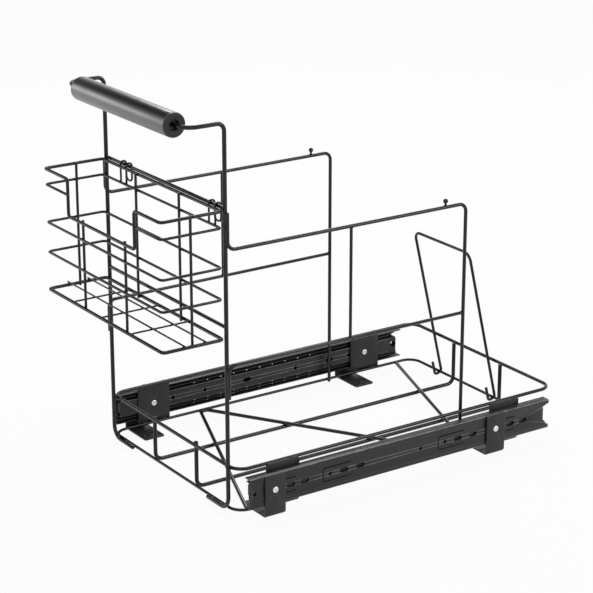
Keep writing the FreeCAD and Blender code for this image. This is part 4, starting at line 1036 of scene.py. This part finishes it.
    def screws(self, hand: Hand) -> None:
        """Make the bracket and tab screws of one side.

        Args:
            hand: side of the part.
        """
        face = self.tray_side + self.outer.web + self.bracket_sheet
        ends = (-self.bracket_y, self.bracket_y)
        for what, body, x, side, places, shank in (
                ("bracket", "slide_bases", face, 1, ends, 3.4),
                ("tab", "tray", self.tray_side - self.tab_sheet, -1, TAB_PLACES, 3.0)):
            piece = Workpiece(f"{hand.word}_{what}_screw_pair")
            for y in places:
                self.screw(piece, (x, y, self.screw_z), side, shank)
            piece.mirror(hand)
            piece.hand_over(ZINC_BRIGHT, body, f"{hand.word}_{what}_screws")

    def tabs(self, hand: Hand) -> None:
        """Make the plates that join the tray's rings to the tray member.

        Args:
            hand: side of the part.
        """
        low, high = self.tab_ends
        for end, centre in zip(("front", "rear"), TAB_PLACES):
            front, rear = centre - self.tab_width / 2, centre + self.tab_width / 2
            piece = Sheet(f"{end}_{hand.word}_ring_tab")
            piece.lay([(front, low), (rear, low), (rear, high), (front, high)],
                      dict.fromkeys(range(4), self.tab_corner),
                      [Opening.hole(centre, self.screw_z, self.screw_hole)],
                      upright(self.tray_side))
            piece.thicken(self.tab_sheet, (0, centre, self.screw_z), self.cut_soft)
            piece.mirror(hand)
            piece.hand_over(SHEET_BLACK, "tray", f"{end}_{hand.word}_tab")

    def build(self) -> None:
        """Make both slides."""
        for hand in Hand:
            self.ribs(hand)
            self.member(("cabinet_member", "slide_outer"), "slide_bases", hand, self.outer,
                        (self.front, self.rear), self.web_openings(self.slots, self.holes))
            self.member(("middle_member", "slide_middle"), f"{hand.word}_middle", hand,
                        self.middle, (self.middle_front, self.member_rear))
            self.member(("tray_member", "slide_inner"), "tray", hand, self.inner,
                        (self.inner_front, self.member_rear),
                        self.web_openings(self.inner_slots, self.inner_holes))
            self.cage(hand, "outer", self.outer_cage, self.ball_across[0])
            self.cage(hand, "inner", self.inner_cage, self.ball_across[1])
            self.buffers(hand)
            for end, sign in (("front", -1), ("rear", 1)):
                self.bracket(hand, end, sign * self.bracket_y)
            self.screws(hand)
            self.tabs(hand)


@dataclass
class Welds:
    """Weld beads of one body, each a little different."""

    name: str
    body: str
    seed: int = 5
    piece: Workpiece = field(init=False)
    chance: random.Random = field(init=False)

    def __post_init__(self) -> None:
        """Start the mesh and the repeatable variation."""
        self.piece = Workpiece(self.name)
        self.chance = random.Random(self.seed)

    def spot(self, centre: Point, wide: float, thick: float, normal: Point) -> None:
        """Add a spot weld between two crossing wires.

        Args:
            centre: where the wires touch.
            wide: half width of the bead.
            thick: half height along the normal.
            normal: from one wire to the other.
        """
        size = tuple(part * self.chance.uniform(0.88, 1.12) for part in (wide, wide, thick))
        self.piece.bead(centre, size, normal)

    def seam(self, centre: Point, half: float, wide: float, along: Point) -> None:
        """Add a short seam in the groove between two wires that run side by side.

        Args:
            centre: its middle.
            half: half its length.
            wide: half its width.
            along: its direction.
        """
        length = half * self.chance.uniform(0.85, 1.15)
        width = wide * self.chance.uniform(0.9, 1.1)
        self.piece.bead(centre, (width, width, length), along)

    def finish(self) -> None:
        """Hand the beads over."""
        self.piece.hand_over(WIRE_BLACK, self.body)


@dataclass
class WireWork:
    """Wires bent to shape for one body, with a number of sides round each."""

    body: str
    sides: int

    def bend(self, name: str, node: str, paths: Sequence[Sequence[Point]], bends: Any,
             diameter: float, closed: bool = False) -> None:
        """Bend one or more wires into one piece and hand it over.

        Args:
            name: the piece's name.
            node: the node that it replaces.
            paths: corners of each wire.
            bends: radii, as for Workpiece.wire.
            diameter: of the wire.
            closed: for a ring.
        """
        piece = Workpiece(name)
        for corners in paths:
            piece.wire(corners, bends, diameter, closed, self.sides)
        piece.hand_over(WIRE_BLACK, self.body, node)


@dataclass
class Tray(WireWork):
    """The welded wire tray with its handle frame and side frames."""

    body: str = "tray"
    sides: int = 18
    handle_sides: int = 20
    half: float = 133.5
    front: float = -188.0
    rear: float = 246.0
    corner: float = 16.0
    rings: tuple[tuple[str, float, float], ...] = (("lower", 7.0, 3.4), ("upper", 54.5, 4.0))
    post_x: float = 123.0
    post_y: float = -192.3
    handle_wire: float = 4.6
    handle_bends: tuple[float, ...] = (0, 14.0, 8.4, 16.0, 16.0, 8.4, 14.0, 0)
    grip_y: float = -238.5
    grip_z: float = 430.0
    feet: Flat = (-80.0, 80.5)
    foot_z: float = 7.0
    bars: tuple[tuple[str, float, float], ...] = (
        ("upper", -190.2, 339.35), ("lower", -192.3, 213.1))
    bar_wire: float = 4.0
    rail_front: Flat = (127.3, -192.3)
    rail_rear: Flat = (129.5, 114.0)
    top_rail: float = 297.6
    second_rail: float = 171.3
    rail_bend: float = 9.0
    rail_laps: Flat = (40.0, -37.0)
    rail_foot: float = 5.0
    mid_post_y: float = -39.0
    knob_y: float = 85.9
    knob_rise: float = 7.0
    knob: float = 2.8
    knob_wire: float = 2.6
    floor_x: float = 44.5
    floor_z: float = 2.7
    floor_wire: float = 4.6
    floor_bend: float = 9.0
    floor_ends: Flat = (-183.7, 241.7)
    floor_tops: tuple[float, float, float] = (55.5, 56.8, 55.5)
    brace_z: float = 7.1
    brace_wire: float = 4.2
    brace_bend: float = 4.0
    brace: tuple[Flat, ...] = ((133.5, -175.4), (-129.7, -72.0), (-129.7, -62.5), (125.4, 99.3),
                               (125.4, 128.7), (-133.5, 219.0))

    def at(self, hand: Hand, y: float, z: float) -> Point:
        """Return a point of one side frame's plane."""
        (x0, y0), (x1, y1) = self.rail_front, self.rail_rear
        return (hand.value * (x0 + (x1 - x0) * (y - y0) / (y1 - y0)), y, z)

    def brace_line(self) -> list[Vector]:
        """Return the brace's corners, with both ends just inside the lower ring.

        Returns:
            The corners from the right front end to the left rear end.
        """
        points = [Vector((x, y, self.brace_z)) for x, y in self.brace]
        inside = self.half - 1.7 - 0.3
        for end, after in ((0, 1), (-1, -2)):
            run = points[after] - points[end]
            points[end] = points[end] + run * ((abs(points[end].x) - inside) / abs(run.x))
        points[0] += (points[1] - points[0]).normalized() * 1.2
        return points

    def frame(self) -> None:
        """Make rings, handle frame and cross bars."""
        h, f, r = self.half, self.front, self.rear
        for level, z, diameter in self.rings:
            self.bend(f"{level}_tray_ring", f"{level}_ring",
                      [[(-h, f, z), (h, f, z), (h, r, z), (-h, r, z)]], self.corner, diameter, True)
        x, y, z, far, top = self.post_x, self.post_y, self.foot_z, self.grip_y, self.grip_z
        WireWork(self.body, self.handle_sides).bend("handle_bow", "handle_frame", [[
            (self.feet[0], y, z), (-x, y, z), (-x, y, top), (-x, far, top), (x, far, top),
            (x, y, top), (x, y, z), (self.feet[1], y, z)]], self.handle_bends, self.handle_wire)
        reach = x - self.handle_wire / 2 + 0.35
        for level, bar_y, height in self.bars:
            self.bend(f"{level}_bar", f"{level}_cross_bar",
                      [[(-reach, bar_y, height), (reach, bar_y, height)]], 0.0, self.bar_wire)

    def floor(self) -> None:
        """Make the floor wires and the zigzag brace."""
        front, rear = self.floor_ends
        left, middle, right = self.floor_tops
        tops = {Hand.LEFT: (left, right), Hand.RIGHT: (middle, right)}
        for hand in Hand:
            x = hand.value * self.floor_x
            self.bend(f"{hand.word}_floor_loop", f"{hand.word}_floor_wire", [[
                (x, front, tops[hand][0]), (x, front, self.floor_z), (x, rear, self.floor_z),
                (x, rear, tops[hand][1])]], self.floor_bend, self.floor_wire)
        self.bend("zigzag_brace", "floor_brace", [self.brace_line()], self.brace_bend,
                  self.brace_wire)

    def side_frame(self, hand: Hand) -> None:
        """Make one side frame: two rails, middle post and knob.

        Args:
            hand: side of the part.
        """
        y0, y1, y2 = self.rail_front[1], self.mid_post_y, self.rail_rear[1]
        top, low = self.top_rail, self.second_rail
        long = ((y0, top + self.rail_laps[0]), (y0, top), (y2, top), (y2, self.rail_foot))
        short = ((y0, low + self.rail_laps[1]), (y0, low), (y2 - 1.8, low))
        post = ((y1, low + 1.6), (y1, top - 1.7))
        for name, node, path, bend, diameter in (
                ("long_rail", "top_rail", long, self.rail_bend, 4.0),
                ("low_rail", "second_rail", short, self.rail_bend, 3.8),
                ("short_post", "middle_post", post, 0.0, 3.4)):
            self.bend(f"{hand.word}_{name}", f"{hand.word}_{node}",
                      [[self.at(hand, y, z) for y, z in path]], bend, diameter)
        knob = Workpiece(f"{hand.word}_ball_knob")
        x, y, z = self.at(hand, self.knob_y, top)
        knob.wire([(x, y, z + 1.7), (x, y, z + self.knob_rise - 1.0)], 0.0, self.knob_wire,
                  sides=14)
        knob.bead((x, y, z + self.knob_rise), (self.knob,) * 3)
        knob.hand_over(WIRE_BLACK, "tray", f"{hand.word}_rail_knob")

    def welds(self) -> None:
        """Put a bead wherever two wires of the tray meet."""
        beads = Welds("tray_weld_beads", "tray")
        (_, low, _), (_, high, _) = self.rings
        y, rear = self.post_y, self.rail_rear[1]
        for hand in Hand:
            s = hand.value
            beads.spot((s * self.post_x, self.front - 2.0, high), 1.9, 1.2, (0, 1, 0))
            foot = self.feet[0] if hand is Hand.LEFT else self.feet[1]
            for x in (foot + s * 5.0, s * 103.0):
                beads.seam((x, self.front - 1.85, low), 4.0, 1.5, (1, 0, 0))
            for _, bar_y, z in self.bars:
                beads.spot((s * (self.post_x - 2.4), (y + bar_y) / 2, z), 2.35, 1.3, (1, 0, 0))
            for z in (332.0, 312.0, 157.0, 139.0):
                beads.seam((s * 125.35, y, z), 4.2, 1.6, (0, 0, 1))
            post = hand.value * self.rail_rear[0]
            beads.seam((post + s * 2.0, rear, high), 2.2, 1.7, (0, 1, 0))
            beads.spot((post + s * 2.1, rear, low + 0.5), 1.7, 1.0, (1, 0, 0))
            beads.spot(self.at(hand, rear - 2.2, self.second_rail), 2.3, 1.2, (0, 1, 0))
            for z in (self.second_rail + 1.9, self.top_rail - 2.0):
                beads.spot(self.at(hand, self.mid_post_y, z), 2.1, 1.1, (0, 0, 1))
            beads.spot(self.at(hand, self.knob_y, self.top_rail + 2.0), 1.8, 0.9, (0, 0, 1))
            for end in (self.front + 2.0, self.rear - 2.0):
                beads.spot((s * self.floor_x, end, high), 1.9, 1.2, (0, 1, 0))
            for centre in TAB_PLACES:
                for step in (-13.0, 13.0):
                    for x, z in ((135.55, 55.0), (135.4, 8.4)):
                        beads.seam((s * x, centre + step, z), 4.5, 1.0, (0, 1, 0))
        line = self.brace_line()
        for start, end in zip(line[::2], line[1::2]):
            for x in (-self.floor_x, self.floor_x):
                share = (x - start.x) / (end.x - start.x)
                beads.spot((x, start.y + share * (end.y - start.y), 5.0), 2.1, 1.0, (0, 0, 1))
        beads.seam((-131.75, -67.2, low), 2.6, 1.3, (0, 1, 0))
        beads.spot((127.5, rear, self.brace_z), 1.9, 1.1, (1, 0, 0))
        for point in (line[0], line[-1]):
            beads.spot((math.copysign(131.5, point.x), point.y, low), 2.1, 1.2, (1, 0, 0))
        beads.finish()

    def build(self) -> None:
        """Make the whole tray."""
        self.frame()
        self.floor()
        for hand in Hand:
            self.side_frame(hand)
        self.welds()


@dataclass
class RearStop:
    """The leaning wire stop, hooked round the rear rail of the lower ring."""

    legs: Flat = (-81.0, 24.5)
    hinge: Point = (0.0, 246.0, 7.0)
    lean: float = 13.6
    rise: float = 192.6
    hook: float = 5.1
    drop: float = 3.75
    tip: float = 14.5
    wire: float = 3.5
    bends: tuple[float, ...] = (0, 3.4, 3.4, 10.0, 10.0, 3.4, 3.4, 0)

    def build(self) -> None:
        """Bend the stop in its own frame and lean it."""
        left, right = self.legs
        path = [(left, -self.hook, self.tip), (left, -self.hook, -self.drop),
                (left, self.hook, -self.drop), (left, self.hook, self.rise)]
        path += [(right, y, z) for _, y, z in reversed(path)]
        piece = Workpiece("leaning_stop")
        piece.wire(path, self.bends, self.wire, sides=18)
        lean = Matrix.Rotation(math.radians(self.lean), 4, "X")
        bmesh.ops.transform(piece.mesh, matrix=Matrix.Translation(self.hinge) @ lean,
                            verts=piece.mesh.verts[:])
        piece.hand_over(WIRE_BLACK, "rear_stop", "rear_stop")


@dataclass
class Grip:
    """The satin tube with its two plugs, turning on the handle wire."""

    centre: Point = (7.8, -238.5, 430.0)
    radius: float = 13.1
    wall: float = 2.0
    half: float = 95.1
    lip: float = 1.5
    plug_depth: float = 14.0
    bore: float = 2.38
    dish: float = 5.0

    def build(self) -> None:
        """Turn tube and plugs."""
        r, i, h = self.radius, self.radius - self.wall, self.half
        tube = Workpiece("grip_sleeve")
        tube.lathe([(-h, i), (h, i), (h, r), (-h, r)], {0: 0.3, 1: 0.3, 2: 0.45, 3: 0.45}, 72)
        tube.shift(self.centre)
        tube.hand_over(GRIP_SATIN, "grip", "grip_tube")
        end, deep = h + self.lip, h - self.plug_depth
        flat = end - self.dish
        profile = [(deep, self.bore), (flat, self.bore), (flat, 5.0), (end - 0.9, 5.5),
                   (end, 6.1), (end, r - 0.2), (h, r - 0.2), (h, i - 0.05), (deep, i - 0.05)]
        for hand in Hand:
            plug = Workpiece(f"{hand.word}_grip_cap")
            plug.lathe(profile, {2: 0.6, 4: 0.3, 5: 0.8, 8: 0.6}, 56)
            plug.mirror(hand)
            plug.shift(self.centre)
            plug.hand_over(PLASTIC_BLACK, "grip", f"{hand.word}_grip_plug")


@dataclass
class Basket(WireWork):
    """The small lift-off basket that hangs on the upper cross bar."""

    body: str = "basket"
    sides: int = 16
    half: float = 121.4
    front: float = -266.7
    back: float = -198.5
    corner: float = 4.5
    rim_z: float = 338.5
    rim_wire: float = 3.6
    ring_wire: float = 3.0
    second_z: float = 320.7
    rings: tuple[tuple[str, float, float], ...] = (
        ("third", 278.0, 3.0), ("fourth", 243.9, 3.0), ("bottom", 200.7, 3.9))
    dip: float = 71.0
    dip_z: float = 297.0
    dip_bend: float = 4.0
    upright: float = 3.0
    upright_x: float = 45.0
    side_y: float = -231.6
    low: float = 198.75
    mesh_wire: float = 2.0
    long_x: tuple[float, ...] = (-66.4, -4.4, 57.6)
    long_z: float = 201.65
    cross_y: tuple[float, ...] = (-244.0, -219.0)
    cross_z: float = 203.65
    cross_reach: float = 4.7
    hooks: tuple[tuple[Hand, float], ...] = ((Hand.LEFT, -88.3), (Hand.RIGHT, 94.3))
    hook_wire: float = 2.3
    hook_width: float = 12.2
    hook_y: Flat = (-193.75, -186.75)
    hook_z: tuple[float, float, float] = (318.3, 321.6, 342.8)
    hook_bends: tuple[float, ...] = (0, 3.36, 3.36, 5, 5, 3.36, 3.36, 0)

    def around(self, diameter: float) -> tuple[float, float, float]:
        """Return a ring's half width, front and back centre lines."""
        return self.half + diameter / 2, self.front - diameter / 2, self.back + diameter / 2

    def loops(self) -> None:
        """Make the rim with its dip and the four rings."""
        side, front, back = self.around(self.rim_wire)
        z, low, dip, c, d = self.rim_z, self.dip_z, self.dip, self.corner, self.dip_bend
        self.bend("basket_brim", "basket_rim", [[
            (0, back, z), (-side, back, z), (-side, front, z), (-dip, front, z), (-dip, front, low),
            (dip, front, low), (dip, front, z), (side, front, z), (side, back, z)]],
            [0, c, c, d, d, d, d, c, c], self.rim_wire, True)
        side, front, back = self.around(self.ring_wire)
        z, end = self.second_z, dip + 1.6
        self.bend("basket_open_ring", "basket_second_ring", [[
            (-end, front, z), (-side, front, z), (-side, back, z), (side, back, z),
            (side, front, z), (end, front, z)]], c, self.ring_wire)
        for level, z, diameter in self.rings:
            side, front, back = self.around(diameter)
            self.bend(f"basket_{level}_hoop", f"basket_{level}_ring", [[
                (-side, front, z), (side, front, z), (side, back, z), (-side, back, z)]],
                c, diameter, True)

    def rods(self) -> None:
        """Make the uprights and the floor wires."""
        thin, tops = self.upright / 2, self.rim_z + self.rim_wire / 2
        for name, x, y, top in (
                ("front", self.upright_x, self.front + thin, self.dip_z + 2.0),
                ("back", self.upright_x, self.back - thin, tops),
                ("side", self.half - thin, self.side_y, tops)):
            self.bend(f"basket_{name}_rods", f"basket_{name}_uprights",
                      [[(s * x, y, self.low), (s * x, y, top)] for s in (-1, 1)], 0.0, self.upright)
        reach, z = self.half + self.cross_reach, self.cross_z
        self.bend("basket_cross_rods", "basket_floor_cross_wires",
                  [[(-reach, y, z), (reach, y, z)] for y in self.cross_y], 0.0, self.mesh_wire)
        front, back, z = self.front - 0.4, self.back + 0.4, self.long_z
        self.bend("basket_long_rods", "basket_floor_long_wires",
                  [[(x, front, z), (x, back, z)] for x in self.long_x], 0.0, self.mesh_wire)

    def staples(self) -> None:
        """Make the two hooks."""
        (leg, rear), (low, seat, top) = self.hook_y, self.hook_z
        for hand, near in self.hooks:
            arm = [(near, leg, low), (near, leg, top), (near, rear, top), (near, rear, seat)]
            back = [(near + self.hook_width, y, z) for _, y, z in reversed(arm)]
            self.bend(f"{hand.word}_hook_staple", f"{hand.word}_basket_hook", [arm + back],
                      self.hook_bends, self.hook_wire)

    def welds(self) -> None:
        """Put a bead wherever two wires of the basket meet."""
        beads = Welds("basket_weld_beads", "basket", 11)
        levels = [z for _, z, _ in self.rings]
        for s in (-1, 1):
            for z in [self.dip_z, *levels]:
                beads.spot((s * self.upright_x, self.front, z), 1.5, 0.9, (0, 1, 0))
            for z in [self.rim_z, self.second_z, *levels]:
                beads.spot((s * self.upright_x, self.back, z), 1.5, 0.9, (0, 1, 0))
                beads.spot((s * self.half, self.side_y, z), 1.5, 0.9, (1, 0, 0))
            beads.spot((s * (self.dip + 1.9), self.front - 1.4, self.second_z), 1.7, 1.0, (1, 0, 0))
            for y in self.cross_y:
                beads.spot((s * (self.half + 1.9), y, 202.6), 1.4, 0.8, (0, 0, 1))
        for x in self.long_x:
            for y in (self.front + 0.2, self.back - 0.2):
                beads.spot((x, y, 201.3), 1.3, 1.0, (0, 1, 0))
            for y in self.cross_y:
                beads.spot((x, y, 202.5), 1.1, 0.6, (0, 0, 1))
        for _, near in self.hooks:
            for x in (near, near + self.hook_width):
                beads.spot((x, -194.9, self.rim_z), 1.4, 0.8, (0, 1, 0))
                beads.spot((x, -195.3, self.second_z), 1.3, 0.9, (0, 1, 0))
        beads.finish()

    def build(self) -> None:
        """Make the whole basket."""
        self.loops()
        self.rods()
        self.staples()
        self.welds()


@dataclass(frozen=True)
class SoftBox:
    """A flat lamp of the studio.

    Attributes:
        name: of the lamp.
        place: where it hangs, in metres.
        aim: the point it looks at.
        size: width and height.
        power: in watts.
    """

    name: str
    place: Point
    aim: Point
    size: Flat
    power: float

    def hang(self) -> None:
        """Make the lamp, unseen by the camera."""
        data = bpy.data.lights.new(self.name, "AREA")
        data.shape = "RECTANGLE"
        data.size, data.size_y = self.size
        data.energy = self.power
        lamp = bpy.data.objects.new(self.name, data)
        lamp.location = self.place
        toward = Vector(self.aim) - Vector(self.place)
        lamp.rotation_euler = toward.to_track_quat("-Z", "Y").to_euler()
        lamp.visible_camera = False
        bpy.context.scene.collection.objects.link(lamp)


@dataclass
class Studio:
    """Floor, soft light and the camera of the photograph."""

    lens: float = 125.83
    sensor: float = 36.0
    clip: Flat = (0.05, 50.0)
    eye: Point = (1.8286, -1.2568, 0.9380)
    tilt: Flat = (90 - 18.98, 55.97)
    floor_size: float = 14.0
    floor_drop: float = 0.0002
    floor_grey: Colour = (0.86, 0.86, 0.86, 1)
    floor_glow: float = 0.94
    dome: float = 0.42
    dim: float = 0.04
    dim_side: Point = (-0.72, -0.05, 0.69)
    dim_edge: Flat = (0.68, 0.95)
    lamps: tuple[SoftBox, ...] = (
        SoftBox("back_box", (-1.2, 0.85, 1.75), (0, 0, 0.2), (1.0, 0.6), 20.0),
        SoftBox("left_box", (-1.56, -1.07, 0.60), (0, 0, 0.25), (0.9, 0.5), 2.6),
        SoftBox("right_box", (1.56, 1.07, 0.90), (0, 0, 0.25), (0.6, 0.6), 8.0))

    def white_seen(self, wiring: Wiring) -> Socket:
        """Return 1 for camera, glossy and transmission rays.

        Args:
            wiring: of the tree that asks.

        Returns:
            The value.
        """
        path = wiring.add("ShaderNodeLightPath").outputs
        camera, glossy, clear = (path[f"Is {kind} Ray"]
                                 for kind in ("Camera", "Glossy", "Transmission"))
        return wiring.math("MAXIMUM", camera, wiring.math("MAXIMUM", glossy, clear))

    def floor(self) -> None:
        """Lay the pale floor, which keeps the object's shadow."""
        mesh = bmesh.new()
        bmesh.ops.create_grid(mesh, x_segments=1, y_segments=1, size=self.floor_size)
        data = bpy.data.meshes.new("studio_floor")
        mesh.to_mesh(data)
        mesh.free()
        plane = bpy.data.objects.new("studio_floor", data)
        bpy.context.scene.collection.objects.link(plane)
        plane.location.z = -self.floor_drop
        material, wiring = bare_material("pale_floor")
        matt = wiring.add("ShaderNodeBsdfDiffuse", {"Color": self.floor_grey, "Roughness": 0.0})
        glow = wiring.add("ShaderNodeEmission", {"Color": (1, 1, 1, 1), "Strength": 1.0})
        share = wiring.times(self.white_seen(wiring), self.floor_glow)
        feeds = {0: share, 1: matt.outputs[0], 2: glow.outputs[0]}
        wiring.surface(wiring.add("ShaderNodeMixShader", feeds).outputs[0])
        data.materials.append(material)

    def world(self) -> None:
        """Set the even dome of light, seen as a white surround that is dim high on the left."""
        world = bpy.data.worlds.new("soft_studio")
        bpy.context.scene.world = world
        world.use_nodes = True
        world.node_tree.nodes.clear()
        wiring = Wiring(world.node_tree)
        way = wiring.add("ShaderNodeTexCoord").outputs["Generated"]
        toward = wiring.add("ShaderNodeVectorMath", {0: way, 1: self.dim_side},
                            operation="DOT_PRODUCT").outputs["Value"]
        roof = wiring.spread(toward, *self.dim_edge, 1.0, self.dim)
        strength = wiring.spread(self.white_seen(wiring), 0.0, 1.0, self.dome, roof)
        back = wiring.add("ShaderNodeBackground", {"Color": (1, 1, 1, 1), "Strength": strength})
        wiring.add("ShaderNodeOutputWorld", {0: back.outputs[0]})

    def camera(self) -> None:
        """Stand the camera where the photograph was taken."""
        data = bpy.data.cameras.new("photo_camera")
        data.lens, data.sensor_width = self.lens, self.sensor
        data.clip_start, data.clip_end = self.clip
        camera = bpy.data.objects.new("photo_camera", data)
        camera.location = self.eye
        camera.rotation_euler = (math.radians(self.tilt[0]), 0.0, math.radians(self.tilt[1]))
        bpy.context.scene.collection.objects.link(camera)
        bpy.context.scene.camera = camera

    def build(self) -> None:
        """Set the stage."""
        bpy.context.scene.view_settings.view_transform = "Standard"
        self.floor()
        self.world()
        self.camera()
        for lamp in self.lamps:
            lamp.hang()


def main() -> None:
    """Build everything in order."""
    logging.basicConfig(level=logging.INFO, format="%(name)s: %(message)s")
    for assembly in (Studio, Tray, RearStop, Basket, Grip, SlidePair):
        assembly().build()


if __name__ == "__main__":
    main()
